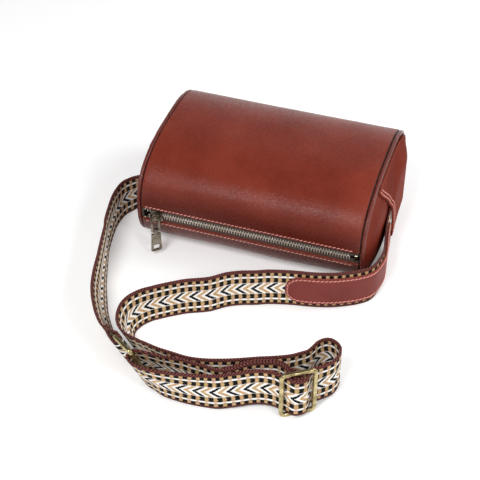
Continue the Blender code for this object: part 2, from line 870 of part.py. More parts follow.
def pull_axes():
    """The pull's own axes: across, forwards (out of the bag) and up, about the crown's bar."""
    turn = math.radians(PULL_TURN_DEGREES)
    across = Vector((math.cos(turn), math.sin(turn), 0))
    out = Vector((math.sin(turn), -math.cos(turn), 0))
    return across, out, Vector((SLIDER_X, CROWN_AXIS_Y, ZIP_HEIGHT))


def pull_plate(name, outlines, thickness, drop, group="parts"):
    """A flat piece of the pull from closed outlines in (across, up), hung drop below the crown."""
    curve = bpy.data.curves.new(name, "CURVE")
    curve.dimensions = "2D"
    curve.fill_mode = "BOTH"
    curve.extrude = thickness / 2
    for outline in outlines:
        spline = curve.splines.new("POLY")
        spline.points.add(len(outline) - 1)
        for spot, (x, y) in zip(spline.points, outline):
            spot.co = (x, y, 0, 1)
        spline.use_cyclic_u = True
    made = bpy.data.objects.new(name, curve)
    curve.materials.append(new_material(name, METAL_LOOK))
    across, out, origin = pull_axes()
    up = Vector((0, 0, 1))
    turn = Matrix((across, up, out)).transposed().to_4x4()
    made.matrix_world = Matrix.Translation(origin - up * drop) @ turn
    GROUPS[group].objects.link(made)
    bpy.context.view_layer.update()
    return made


def link_outline():
    """The link's outside: an arch over the crown, straight sides and a square foot."""
    arch = LINK_TOP_ROOM + LINK_LEG
    spring = arch - LINK_HALF * 0.72
    steps = 10
    points = []
    for i in range(steps + 1):
        angle = math.pi * i / steps
        points.append((LINK_HALF * math.cos(angle), spring + (arch - spring) * math.sin(angle)))
    foot = -LINK_DROP - LINK_LEG / 2
    points += [(-LINK_HALF, foot + LINK_CORNER / 2), (-LINK_HALF + LINK_CORNER / 2, foot)]
    points += [(LINK_HALF - LINK_CORNER / 2, foot), (LINK_HALF, foot + LINK_CORNER / 2)]
    return points


def link_hole():
    half = LINK_HALF - LINK_LEG
    top, bottom = LINK_TOP_ROOM, -LINK_DROP + LINK_LEG / 2
    middle, half_height = (top + bottom) / 2, (top - bottom) / 2
    return [(x, y + middle) for x, y in rounded_rectangle(half, half_height, LINK_CORNER, 3)]


def build_pull():
    pull_plate("pull_link", [link_outline(), link_hole()], LINK_THICKNESS, 0.0)
    top = -(TAB_EYE_INNER + TAB_EYE_WALL / 2)
    foot = -TAB_LENGTH
    shoulder = top - TAB_EYE_WALL - LINK_LEG / 2
    outline = [
        (-TAB_EYE_LENGTH / 2, top),
        (-TAB_EYE_LENGTH / 2, shoulder),
        (-TAB_TOP_HALF + TAB_CORNER / 2, shoulder),
        (-TAB_TOP_HALF, shoulder - TAB_CORNER / 2),
        (-TAB_BOTTOM_HALF, foot + TAB_CORNER),
        (-TAB_BOTTOM_HALF + TAB_CORNER, foot),
        (TAB_BOTTOM_HALF - TAB_CORNER, foot),
        (TAB_BOTTOM_HALF, foot + TAB_CORNER),
        (TAB_TOP_HALF, shoulder - TAB_CORNER / 2),
        (TAB_TOP_HALF - TAB_CORNER / 2, shoulder),
        (TAB_EYE_LENGTH / 2, shoulder),
        (TAB_EYE_LENGTH / 2, top),
    ]
    middle = foot + TAB_SLOT_MARGIN + TAB_SLOT_HEIGHT / 2
    slot = rounded_rectangle(TAB_SLOT_WIDTH / 2, TAB_SLOT_HEIGHT / 2, TAB_CORNER / 2, 1)
    slot = [(x, y + middle) for x, y in slot]
    plate = as_mesh(pull_plate("pull_tab", [outline, slot], TAB_THICKNESS, LINK_DROP))
    eye = eye_cylinder("tab_eye", TAB_EYE_INNER + TAB_EYE_WALL, TAB_EYE_LENGTH)
    combine(plate, eye, "UNION")
    bore = eye_cylinder("tab_bore", TAB_EYE_INNER, TAB_EYE_LENGTH + CUT_OVERRUN)
    combine(plate, bore, "DIFFERENCE")


def eye_cylinder(name, radius, length):
    """A cutter or joiner on the tab's hinge line."""
    bm = bmesh.new()
    bmesh.ops.create_cone(
        bm, cap_ends=True, segments=16, radius1=radius, radius2=radius, depth=length
    )
    across, out, origin = pull_axes()
    turn = Matrix((out, Vector((0, 0, 1)), across)).transposed().to_4x4()
    place = Matrix.Translation(origin - Vector((0, 0, LINK_DROP))) @ turn
    bmesh.ops.transform(bm, matrix=place, verts=bm.verts)
    bmesh.ops.recalc_face_normals(bm, faces=bm.faces)
    return place_mesh(name, bm, METAL_LOOK, "cutters")


# Webbing: every place on it has a centre and the direction of its width


def on_table(x_share, y_share, lean_share, heading):
    """A place where the webbing stands on its edge, leaning to the left of its heading."""
    lean = LEAN_MAX * lean_share
    left = Vector((-heading.y, heading.x, 0)).normalized()
    rise = math.sqrt(WEBBING_WIDTH**2 - lean**2)
    up = (left * lean + Vector((0, 0, rise))).normalized()
    z = WEBBING_WIDTH / 2 * up.z + WEBBING / 2 * math.sqrt(1 - up.z**2)
    return Vector((x_share * HALF_LENGTH, FRONT - y_share * LAY_DEPTH, z)), up


def eased(share):
    """Goes smoothly from one at zero to zero at one."""
    return (1 + math.cos(math.pi * min(max(share, 0.0), 1.0))) / 2


def table_run(shares, lean_sign, first_lift=0.0, last_lift=0.0):
    """Places of a run on the table, from a table of shares; its ends may be lifted to a buckle."""
    flat = [Vector((x * HALF_LENGTH, -y * LAY_DEPTH, 0)) for x, y, _ in shares]
    lengths = [0.0]
    for a, b in zip(flat, flat[1:]):
        lengths.append(lengths[-1] + (b - a).length)
    places = []
    for i, (x, y, lean) in enumerate(shares):
        heading = flat[min(i + 1, len(flat) - 1)] - flat[max(i - 1, 0)]
        spot, up = on_table(x, y, lean * lean_sign, heading)
        lift = first_lift * eased(lengths[i] / LIFT_REACH)
        lift += last_lift * eased((lengths[-1] - lengths[i]) / LIFT_REACH)
        places.append((spot + Vector((0, 0, lift)), up))
    return places


def beside_end(side, shares, flare):
    """Places beside the end of the bag, from the sewn end in the pocket down to the table."""
    table = WEBBING_WIDTH / 2
    spots = []
    for depth, out, drop in shares:
        x = side * (STRAP_AT_END + flare * out)
        z = table + (ANCHOR_HEIGHT - table) * drop
        spots.append(Vector((x, depth * HALF_DEPTH, z)))
    places = []
    for i, spot in enumerate(spots):
        heading = (spots[min(i + 1, len(spots) - 1)] - spots[max(i - 1, 0)]).normalized()
        up = Vector((0, -heading.z, heading.y)).normalized()
        up *= math.copysign(1, up.z)
        lift = max(WEBBING_WIDTH / 2 * up.z - spot.z, 0.0)
        places.append((spot + Vector((0, 0, lift)), up))
    return places


class Frame:
    """Axes of a buckle that stands on the table: along, out (towards the viewer) and up."""

    def __init__(self, place_shares, turn_degrees, lean_degrees, half_height):
        turn, lean = math.radians(turn_degrees), math.radians(lean_degrees)
        self.along = Vector((math.cos(turn), math.sin(turn), 0))
        flat_out = Vector((math.sin(turn), -math.cos(turn), 0))
        self.up = flat_out * math.sin(lean) + Vector((0, 0, math.cos(lean)))
        self.out = flat_out * math.cos(lean) - Vector((0, 0, math.sin(lean)))
        x, y = place_shares
        self.middle = Vector((x * HALF_LENGTH, FRONT - y * LAY_DEPTH, half_height))

    def at(self, along, out=0.0, up=0.0):
        return self.middle + self.along * along + self.out * out + self.up * up


def ring_frame():
    lean = math.radians(RING_LEAN_DEGREES)
    half = (RING_HEIGHT / 2 - RING_WIRE_RADIUS) * math.cos(lean) + RING_WIRE_RADIUS + FIT
    return Frame(RING_PLACE_SHARES, RING_TURN_DEGREES, RING_LEAN_DEGREES, half)


def glide_frame():
    return Frame(GLIDE_PLACE_SHARES, GLIDE_TURN_DEGREES, 0.0, GLIDE_HEIGHT / 2)


def in_frame(frame, spots):
    """Places given in a buckle's own axes as (along, out)."""
    return [(frame.at(along, out), frame.up) for along, out in spots]


def arc_spots(centre, radii, start_degrees, end_degrees, steps):
    """Points (along, out) on an oval arc."""
    spots = []
    for i in range(steps + 1):
        angle = math.radians(start_degrees + (end_degrees - start_degrees) * i / steps)
        along = centre[0] + radii[0] * math.cos(angle)
        spots.append((along, centre[1] + radii[1] * math.sin(angle)))
    return spots


def kept_up(spot, up):
    """Lifts a place so that the webbing's lower edge isn't under the table."""
    low = spot.z - WEBBING_WIDTH / 2 * up.z - WEBBING / 2 * math.sqrt(max(1 - up.z**2, 0.0))
    return spot + Vector((0, 0, max(-low, 0.0)))


def smooth_places(places, step):
    """Places read at even steps from a smooth curve through the places given."""
    centres = [p for p, _ in places]
    ups = [u for _, u in places]
    made = []
    for i in range(len(centres) - 1):
        before = centres[max(i - 1, 0)]
        a, b = centres[i], centres[i + 1]
        after = centres[min(i + 2, len(centres) - 1)]
        count = max(1, math.ceil((b - a).length / step))
        for k in range(count):
            t = k / count
            spot = (
                a * 2
                + (b - before) * t
                + (before * 2 - a * 5 + b * 4 - after) * t**2
                + (a * 3 - before - b * 3 + after) * t**3
            ) / 2
            up = ups[i].lerp(ups[i + 1], t).normalized()
            made.append((kept_up(spot, up), up))
    made.append((kept_up(centres[-1], ups[-1]), ups[-1]))
    return made


def square_up(places):
    """Turns each width direction square to the run, and gives (centre, width, through) triples."""
    made = []
    for i, (spot, up) in enumerate(places):
        run = places[min(i + 1, len(places) - 1)][0] - places[max(i - 1, 0)][0]
        run.normalize()
        width = (up - run * up.dot(run)).normalized()
        made.append((spot, width, run.cross(width)))
    return made


def band(name, stations, half_widths, thickness, shift, look):
    """A flat band through its stations, shifted along its own thickness direction."""
    bm = bmesh.new()
    rows = []
    for (spot, width, through), half in zip(stations, half_widths):
        middle = spot + through * shift
        rows.append([middle - width * half, middle + width * half])
    extrude_rows(bm, rows)
    piece = place_mesh(name, bm, look)
    thicken(piece, thickness, offset=0.0)
    return piece


def band_length(stations):
    return sum((b[0] - a[0]).length for a, b in zip(stations, stations[1:]))


def folded_tail(places, length, spread):
    """Places of a sewn end: back along the band's own last stretch, on its rear side."""
    stations = square_up(places)
    close = WEBBING + PLY_GAP
    made, run = [], 0.0
    for i in range(len(stations) - 2, 0, -1):
        spot, width, through = stations[i]
        run += (stations[i + 1][0] - spot).length
        if run > length:
            break
        closing = (run - FOLD_SPREAD_START) / (FOLD_SPREAD_END - FOLD_SPREAD_START)
        part = eased(closing)
        made.append((spot - through * (close + (spread - close) * part), width))
    return made


def short_strap_places():
    """From the left pocket to the ring: round the ring's near bar and back along itself."""
    frame = ring_frame()
    bar = -(RING_WIDTH / 2 - RING_WIRE_RADIUS)
    radius = RING_WIRE_RADIUS + LOOP_FIT + WEBBING / 2
    lead = [(bar + along * radius, out * radius) for along, out in SHORT_LEAD_SHARES]
    beside = beside_end(-1, LEFT_BESIDE_SHARES, LEFT_FLARE)
    run = table_run(SHORT_RUN_SHARES, -1, last_lift=RING_LIFT_SHORT)
    approach = smooth_places(beside + run + in_frame(frame, lead), STATION_STEP)
    turn = in_frame(frame, arc_spots((bar, 0.0), (radius, radius), 90, -90, 10)[1:])
    return approach + turn + folded_tail(approach, SHORT_TAIL, 2 * radius)


def ring_loop_spots():
    """The long strap's loose loop round the ring's far bar."""
    far_bar = RING_WIDTH / 2 - RING_WIRE_RADIUS
    middle = (far_bar + PLY_GAP, RING_LOOP_ROOM - RING_LOOP_HALF)
    radii = (RING_LOOP_HALF * LOOP_ROUND_SHARE, RING_LOOP_HALF)
    lead = [(middle[0] + RING_LOOP_HALF, RING_LOOP_ROOM)]
    reach, depth = LOOP_LEAVE_SHARES
    leave = [(middle[0] + RING_LOOP_HALF * reach, (middle[1] - RING_LOOP_HALF) * depth)]
    return lead + arc_spots(middle, radii, 90, 260, 8) + leave


def hump_spots():
    """The running webbing at the tri-glide: behind, over the folded end, and behind again."""
    bar = GLIDE_WIDTH / 2 - GLIDE_BAR_RADIUS
    behind = GLIDE_BAR_RADIUS + GLIDE_PLAY + WEBBING / 2
    over = GLIDE_BAR_RADIUS + FIT + WEBBING + FIT + WEBBING / 2
    half = [(bar * u, v * (over if v > 0 else behind)) for u, v in HUMP_SHARES]
    return half + [(-u, v) for u, v in half[-2:0:-1]]


def long_strap_places():
    """From the right pocket round to the tri-glide, to the ring and back to the centre bar."""
    ring, glide = ring_frame(), glide_frame()
    bar = GLIDE_WIDTH / 2 - GLIDE_BAR_RADIUS
    radius = GLIDE_BAR_RADIUS + FIT + WEBBING / 2
    lead = [(bar * u, bar * v) for u, v in FOLD_LEAD_SHARES]
    arc = arc_spots((0.0, 0.0), (radius, radius), 160, -30, 12)
    places = beside_end(1, RIGHT_BESIDE_SHARES, RIGHT_FLARE)
    places += table_run(BACK_RUN_SHARES, -1, last_lift=GLIDE_LIFT)
    places += in_frame(glide, hump_spots())
    places += table_run(FRONT_RUN_SHARES, 1, GLIDE_LIFT, RING_LIFT_FRONT)
    places += in_frame(ring, ring_loop_spots())
    places += table_run(MIDDLE_RUN_SHARES, -1, RING_LIFT_REAR, GLIDE_LIFT)
    places += in_frame(glide, lead + arc[:1])
    wound = smooth_places(places, STATION_STEP)
    return wound + in_frame(glide, arc[1:]) + folded_tail(wound, FOLD_TAIL, 2 * radius)


def build_straps():
    short = square_up(short_strap_places())
    band("short_strap", short, [WEBBING_WIDTH / 2] * len(short), WEBBING, 0.0, WEBBING_LOOK)
    long = square_up(long_strap_places())
    band("long_strap", long, [WEBBING_WIDTH / 2] * len(long), WEBBING, 0.0, WEBBING_LOOK)
    print(f"short strap {band_length(short):.3f} m, long strap {band_length(long):.3f} m")
    build_strap_tab(long)


def build_strap_tab(stations):
    """The leather tab on the outer face of the long strap, with a rounded end."""
    picked, halves, run = [], [], 0.0
    end = TAB_PATCH_START + TAB_PATCH_LENGTH
    radius = TAB_PATCH_WIDTH / 2
    for before, after in zip(stations, stations[1:]):
        if TAB_PATCH_START <= run <= end:
            short_of = min((end - run) / radius, 1.0)
            halves.append(radius * math.sqrt(max(1 - (1 - short_of) ** 2, 0.05)))
            picked.append(before)
        run += (after[0] - before[0]).length
    shift = -(WEBBING + TAB_PATCH) / 2 - FIT
    band("strap_tab", picked, halves, TAB_PATCH, shift, LEATHER_LOOK)


# Ring and tri-glide


def build_ring():
    frame = ring_frame()
    outline = rounded_rectangle(
        RING_WIDTH / 2 - RING_WIRE_RADIUS,
        RING_HEIGHT / 2 - RING_WIRE_RADIUS,
        RING_CORNER,
        4,
    )
    points = [frame.at(along, 0.0, up) for along, up in outline]
    wire_loop("strap_ring", points, RING_WIRE_RADIUS, BRASS_LOOK)


def build_glide():
    """The tri-glide: a rounded frame of round bar with a centre bar joined into it."""
    frame = glide_frame()
    outline = rounded_rectangle(
        GLIDE_WIDTH / 2 - GLIDE_BAR_RADIUS,
        GLIDE_HEIGHT / 2 - GLIDE_BAR_RADIUS,
        GLIDE_CORNER,
        4,
    )
    points = [frame.at(along, 0.0, up) for along, up in outline]
    outer = as_mesh(wire_loop("triglide_frame", points, GLIDE_BAR_RADIUS, BRASS_LOOK))
    reach = GLIDE_HEIGHT / 2 - GLIDE_BAR_RADIUS
    bar = [frame.at(0.0, 0.0, -reach), frame.at(0.0, 0.0, reach)]
    centre = as_mesh(wire_loop("glide_bar", bar, GLIDE_BAR_RADIUS * 0.98, BRASS_LOOK, False), "cutters")
    combine(outer, centre, "UNION")


GROUPS = {}


def main():
    clear_scene()
    GROUPS["parts"] = new_collection("pillow_bag")
    GROUPS["cutters"] = new_collection("cutters")
    build_body()
    for side, word in ((-1, "left"), (1, "right")):
        build_end(side, word)
        build_strap_pocket(side, word)
    for word, up in (("upper", 1), ("lower", -1)):
        build_tape(word, up)
        build_chain(word, up, 0.0 if up > 0 else TOOTH_PITCH / 2)
    build_stops()
    build_slider()
    build_crown()
    build_pull()
    build_straps()
    build_ring()
    build_glide()


main()
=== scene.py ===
"""Pillow bag with a woven shoulder strap: leather, stitching, zip, webbing and buckles.

Metres. The bag lies on its back panel, X runs along it, the zip faces -Y and +Z is up.
"""

import math

import bmesh
import bpy
from bpy.props import FloatProperty, FloatVectorProperty, PointerProperty
from mathutils import Matrix, Vector, noise


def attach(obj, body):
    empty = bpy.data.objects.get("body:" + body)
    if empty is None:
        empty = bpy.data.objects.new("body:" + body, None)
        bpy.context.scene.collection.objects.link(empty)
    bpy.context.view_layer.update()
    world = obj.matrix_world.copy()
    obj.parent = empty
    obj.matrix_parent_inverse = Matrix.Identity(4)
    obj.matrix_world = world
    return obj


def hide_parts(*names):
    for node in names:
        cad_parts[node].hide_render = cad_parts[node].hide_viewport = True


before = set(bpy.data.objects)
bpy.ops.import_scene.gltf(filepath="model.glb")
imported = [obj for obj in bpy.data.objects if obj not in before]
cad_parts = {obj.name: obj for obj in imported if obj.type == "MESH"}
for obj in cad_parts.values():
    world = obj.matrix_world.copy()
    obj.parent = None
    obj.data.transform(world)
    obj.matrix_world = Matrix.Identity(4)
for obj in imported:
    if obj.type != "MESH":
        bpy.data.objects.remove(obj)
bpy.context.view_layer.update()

bl_info = {
    "name": "Pillow Bag",
    "version": (1, 0, 0),
    "blender": (4, 5, 0),
    "location": "View3D > Sidebar > Pillow Bag",
    "description": "Makes a leather pillow bag with its zip and woven shoulder strap",
    "category": "Object",
}

# Bag body, as in the solids
BAG_LENGTH = 0.190
BAG_DEPTH = 0.1448
BAG_HEIGHT = 0.087
SECTION_POWER_SHARE = 2.7
UNDERSIDE_SAG = 0.0012
LEATHER = 0.0014
BACKING = 0.0010
LINING = 0.0005
FIT = 0.0003
PIPING_RADIUS = 0.0017
PANEL_BULGE = 0.0036
STIFFENER = 0.0008
POCKET_LEATHER = 0.0013
RIM_INSET = 0.0037
RIM_PLACE = 0.0962
ZIP_STITCH_INSET = 0.0018
SEAM_FALL_WIDTH = 0.0038
POCKET_EDGE_SHARES = (
    (-0.52, 0.97), (-0.42, 0.84), (-0.28, 0.70), (-0.14, 0.52), (-0.04, 0.33), (0.00, 0.16),
    (0.03, 0.01),
)
SLIP_POCKET_LENGTH = 0.104
SLIP_POCKET_WIDTH = 0.046
SLIP_POCKET_CORNER = 0.008
SLIP_POCKET_SLACK = 0.0006

# Zip
ZIP_HEIGHT = 0.0395
ZIP_SLOT_HALF = 0.0059
TAPE_REACH = 0.0145
TAPE_THICKNESS = 0.0006
CHAIN_END_GAP = 0.0045
TOOTH_PITCH = 0.00225
TOOTH_THICKNESS = 0.0008
TOOTH_DEPTH = 0.0020
TOOTH_LEG = 0.0025
TOOTH_NOSE = 0.0008
BEAD_RADIUS = 0.0006
BEAD_MIDDLE = 0.0018
TAPE_EDGE = 0.0021
PARTED_HALF = 0.0021
PARTED_LENGTH = 0.0130
MESH_POINT = 0.0030
SLIDER_FROM_END = 0.016
SLIDER_FRONT_HALF = 0.0056
LINING_CLEARANCE = 0.0032
TOOTH_BEVEL = 0.00022
STOP_EDGE = 0.0003
PULL_EDGES = (
    ("slider_body", 0.00022),
    ("slider_crown", 0.00028),
    ("pull_link", 0.00035),
    ("pull_tab", 0.00030),
)

# Soft detail of the leather; turns are angles from the middle of the front
LOOSE_TURNS = (0.17, 0.55)
RESTING_SHARES = (0.55, 0.95)
FULL_TURN = (0.75, 0.35)
FACING_TURN = (0.30, 0.55)
ROLL_LOST_IN_FRONT = 0.65
LEATHER_LEAST = 0.0001
NORMAL_TURN = 0.004
HEM_SPREAD = (0.0019, 0.0036)
GROOVE_HALF = 0.0005
GROOVE_SHARE = 0.6
PUCKER_REACH = 0.006
RUB_REACH_ZIP = 0.0012
RUB_REACH_SEAM = 0.003
RUB_REACH_TAB = 0.0014
# Dark edge paint at the seams, which also paints the shade in the gap by the piping: full up to
# the first distance from the seam, gone at the second.
SEAM_PAINT_AND_SHADE_SPREAD = (0.0003, 0.0011)
# Painted shade on the wrap beside the zip: full up to the first distance from the slot, gone at
# the second.
PAINTED_ZIP_SHADE_SPREAD = (0.004, 0.030)

# Steps of the meshes
WRAP_ROW_STEP = 0.0026
WRAP_STATION_STEP = 0.0034
LAYER_STATION_STEP = 0.006
PANEL_STEP = 0.0026
POCKET_STEP = 0.0020
PIPING_STEP = 0.0016

# Ends: heights and depths between which the panel falls away, and the margin and the reach
# of the pocket's fall beyond the webbing it covers
PANEL_TOP_FALL = (0.058, 0.086)
PANEL_REAR_FALL = (0.026, 0.070)
COVER_OVER = (0.001, 0.024)
COVER_UNDER = (0.0005, 0.009)
COVER_REAR = (0.001, 0.034)
POCKET_MIDDLE = (0.020, 0.042)
STIFFENER_SHARE = 0.96

# Finishes
GRAIN_SCALE = 1300.0
GRAIN_DEPTH = 0.00012
PATINA_DEPTH = 0.00005
TAPE_THREAD = 0.00045
BEAD_THREAD = 0.0004
LINING_THREAD = 0.0005

# Stitching
ZIP_STITCH_END = 0.0035
POCKET_STITCH_INSETS = (0.0020, 0.0052)
TAB_STITCH_MARGIN = 0.0023
END_STITCH_MARGIN = 0.003
SHORT_END_STITCHES = (0.0125, 0.0155)
LONG_END_STITCHES = (0.050, 0.056)

# The webbing's woven pattern
WEFT = 0.00045
RIB = 0.00110
SQUARES_PERIOD = 0.0063
CHEVRON_PERIOD = 0.0126
TWEED_PERIOD = 0.0024
DASH_PERIOD = 0.0030
FIELD_HALF = 0.0050
PALE_ROW = (0.0050, 0.0057)
SQUARE_ROWS = ((0.0056, 0.0111), (0.0129, 0.0158))
LINE_PLACE = 0.0120
LINE_HALF = 0.0006
LINE_DASH = 0.0004
JAG_PERIOD = 0.00095
JAG_DEPTH = 140.0
PATCH_SIZE = (0.0018, 0.0012)
CLOTH_DEPTH = 0.0002

# Webbing and the way it lies
WEBBING_WIDTH = 0.038
WEBBING = 0.0018
LAY_DEPTH = 0.1627
ANCHOR_HEIGHT = 0.040
PLY_GAP = 0.00045
FOLD_SPREAD_START = 0.0025
FOLD_SPREAD_END = 0.0110
RIGHT_FLARE = 0.0056
LEFT_FLARE = 0.0221
STATION_STEP = 0.0020
LIFT_REACH = 0.060
RING_LIFT_SHORT = 0.0038
RING_LIFT_FRONT = 0.0024
RING_LIFT_REAR = 0.0054
GLIDE_LIFT = 0.0038
LOOP_FIT = 0.0006
TAB_PATCH = 0.0012
TAB_PATCH_WIDTH = 0.028
TAB_PATCH_START = 0.043
TAB_PATCH_LENGTH = 0.135

# Buckles
RING_WIDTH = 0.0260
RING_SPARE = 0.0085
RING_WIRE_RADIUS = 0.0017
RING_CORNER = 0.0040
RING_PLACE_SHARES = (-0.488, 0.851)
RING_TURN_DEGREES = -33.8
RING_LEAN_DEGREES = 22.0
SHORT_TAIL = 0.0170
RING_LOOP_HALF = 0.0047
RING_LOOP_ROOM = 0.00465
LOOP_ROUND_SHARE = 0.9
LOOP_LEAVE_SHARES = (0.95, 1.6)
GLIDE_WIDTH = 0.0290
GLIDE_SPARE = 0.0082
GLIDE_BAR_RADIUS = 0.0018
GLIDE_CORNER = 0.0030
GLIDE_PLACE_SHARES = (0.863, 0.826)
GLIDE_TURN_DEGREES = 33.0
GLIDE_PLAY = 0.0014
FOLD_TAIL = 0.0600

# Places of the webbing beside the ends: shares of half the depth, of the flare, and of the drop
RIGHT_BESIDE_SHARES = (
    (0.387, 0.0, 1.0), (0.138, 0.0, 0.81), (-0.07, 0.0, 0.38), (-0.17, 0.04, 0.22),
    (-0.28, 0.17, 0.12), (-0.414, 0.41, 0.05), (-0.58, 0.76, 0.0), (-0.746, 1.0, 0.0),
    (-0.912, 0.70, 0.0),
)
LEFT_BESIDE_SHARES = (
    (0.387, 0.0, 1.0), (0.166, 0.0, 0.71), (-0.055, 0.0, 0.36), (-0.17, 0.06, 0.15),
    (-0.28, 0.36, 0.03), (-0.40, 0.70, 0.0), (-0.525, 0.94, 0.0), (-0.69, 1.0, 0.0),
    (-0.856, 0.955, 0.0),
)
# Places of the webbing on the table: shares of half the length, of the lay's depth, of the lean
BACK_RUN_SHARES = (
    (1.093, 0.013, 0.0), (1.011, 0.056, 0.0), (0.916, 0.088, 0.0), (0.821, 0.114, 0.0),
    (0.721, 0.133, 0.0), (0.621, 0.147, 0.0), (0.463, 0.164, 0.0), (0.295, 0.191, 0.0),
    (0.195, 0.216, 0.0), (0.066, 0.243, 0.0), (-0.042, 0.277, 0.0), (-0.158, 0.332, 0.0),
    (-0.321, 0.377, 0.0), (-0.407, 0.408, 0.0), (-0.488, 0.441, 0.0), (-0.574, 0.480, 0.0),
    (-0.642, 0.522, 0.15), (-0.688, 0.573, 0.35), (-0.696, 0.618, 0.60), (-0.680, 0.657, 0.85),
    (-0.653, 0.691, 1.0), (-0.624, 0.719, 1.0), (-0.586, 0.740, 1.0), (-0.530, 0.755, 1.0),
    (-0.415, 0.772, 1.0), (-0.278, 0.800, 0.80), (-0.153, 0.818, 0.60), (-0.024, 0.833, 0.40),
    (0.094, 0.831, 0.25), (0.218, 0.817, 0.10), (0.360, 0.790, 0.0), (0.496, 0.755, 0.0),
    (0.633, 0.723, 0.0), (0.735, 0.694, 0.0), (0.797, 0.667, 0.0), (0.848, 0.643, 0.0),
    (0.874, 0.614, 0.0), (0.902, 0.580, 0.0), (0.947, 0.558, 0.0), (1.000, 0.555, 0.0),
    (1.055, 0.573, 0.0), (1.091, 0.603, 0.0), (1.095, 0.646, 0.0), (1.068, 0.692, 0.0),
)
FRONT_RUN_SHARES = (
    (0.674, 0.837, 0.0), (0.584, 0.841, 0.0), (0.505, 0.855, 0.0), (0.431, 0.875, 0.0),
    (0.353, 0.895, 0.0), (0.253, 0.919, 0.05), (0.145, 0.931, 0.15), (0.026, 0.944, 0.30),
    (-0.090, 0.952, 0.45), (-0.203, 0.954, 0.65), (-0.290, 0.944, 0.90),
)
MIDDLE_RUN_SHARES = (
    (-0.197, 0.872, 0.75), (-0.116, 0.876, 0.55), (-0.036, 0.878, 0.35), (0.045, 0.884, 0.20),
    (0.147, 0.887, 0.10), (0.239, 0.894, 0.0), (0.328, 0.880, 0.0), (0.392, 0.855, 0.0),
    (0.432, 0.835, 0.0), (0.497, 0.811, 0.0), (0.542, 0.800, 0.0),
)
SHORT_RUN_SHARES = (
    (-1.262, 0.075, 0.0), (-1.226, 0.139, 0.0), (-1.174, 0.243, 0.14), (-1.121, 0.342, 0.28),
    (-1.063, 0.440, 0.55), (-0.995, 0.538, 0.75), (-0.921, 0.618, 0.90), (-0.837, 0.692, 1.0),
)
# Edges of the webbing inside the pocket, from front to back: (y, z)
WEB_TOP_LINE = (
    (-0.019, 0.0420), (-0.014, 0.0445), (0.003, 0.0543), (0.024, 0.0592), (0.033, 0.0600),
)
WEB_BOTTOM_LINE = (
    (-0.015, 0.0025), (-0.006, 0.0052), (0.004, 0.0096), (0.017, 0.0178), (0.033, 0.0208),
)
WEB_END = 0.033
# Places at the buckles: shares of the loop's radius on the short strap, and of the bar's place
SHORT_LEAD_SHARES = ((-6.4, 0.12), (-3.7, 0.32), (-1.8, 0.78), (0.0, 1.0))
HUMP_SHARES = (
    (1.45, -1.25), (1.0, -1.12), (0.82, -0.92), (0.66, -0.25), (0.54, 0.25), (0.40, 0.74),
    (0.22, 0.97), (0.0, 1.0),
)
FOLD_LEAD_SHARES = (
    (-1.14, -1.38), (-0.76, -1.15), (-0.545, -0.835), (-0.44, -0.52), (-0.345, -0.235),
)

SIDES = ((-1, "left"), (1, "right"))

# Worked out from the sizes and shares above
HALF_LENGTH = BAG_LENGTH / 2
HALF_DEPTH = BAG_DEPTH / 2
MID_HEIGHT = BAG_HEIGHT / 2
BACKING_INSET = LEATHER + FIT
LINING_INSET = BACKING_INSET + BACKING + FIT
WRAP_END = HALF_LENGTH - PIPING_RADIUS - FIT
LINING_END = WRAP_END - LINING
PANEL_INNER = HALF_LENGTH + PIPING_RADIUS + FIT
PANEL_OUTER = PANEL_INNER + LEATHER
PANEL_FULL = PANEL_OUTER + PANEL_BULGE - FIT - RIM_PLACE
STRAP_AT_END = PANEL_OUTER + PANEL_BULGE + FIT + WEBBING / 2
LINING_SLOT_HALF = SLIDER_FRONT_HALF + LINING + LINING_CLEARANCE
FRONT = -HALF_DEPTH
CHAIN_Y = FRONT + LEATHER + FIT + TAPE_THICKNESS / 2
CHAIN_END = WRAP_END - CHAIN_END_GAP
SLIDER_X = SLIDER_FROM_END - HALF_LENGTH
RING_HEIGHT = WEBBING_WIDTH + RING_SPARE
GLIDE_HEIGHT = WEBBING_WIDTH + GLIDE_SPARE
LEAN_MAX = WEBBING_WIDTH * math.sin(math.radians(RING_LEAN_DEGREES))
SECTION_MIDDLE = (0.0, MID_HEIGHT)
MERGE = 0.000001
WELD = 0.00001

# Camera at the photograph's place
CAMERA_PLACE = (0.2295, -0.7930, 0.7162)
CAMERA_TARGET = (-0.0122, -0.0555, 0.0172)
CAMERA_LENS = 93.75
SENSOR_WIDTH = 36.0

# Lamps: name, place, target, size, and the setting that holds the power
LAMPS = (
    ("front softbox", (-0.17, -0.92, 1.06), (0, -0.05, 0), 0.46, "front"),
    ("back softbox", (0.50, 0.22, 0.60), (0, 0, 0.05), 0.42, "back"),
    ("side strip", (0.82, -0.75, 0.90), (0, -0.05, 0), 0.20, "side"),
    ("rim strip", (-0.30, 1.30, 0.28), (0, 0, 0.05), 0.60, "rim"),
)
CEILING_RISE = (0.05, 0.50)
WHITE = (1.0, 1.0, 1.0, 1.0)


def opaque(colour):
    return (*colour, 1.0)


# Node building


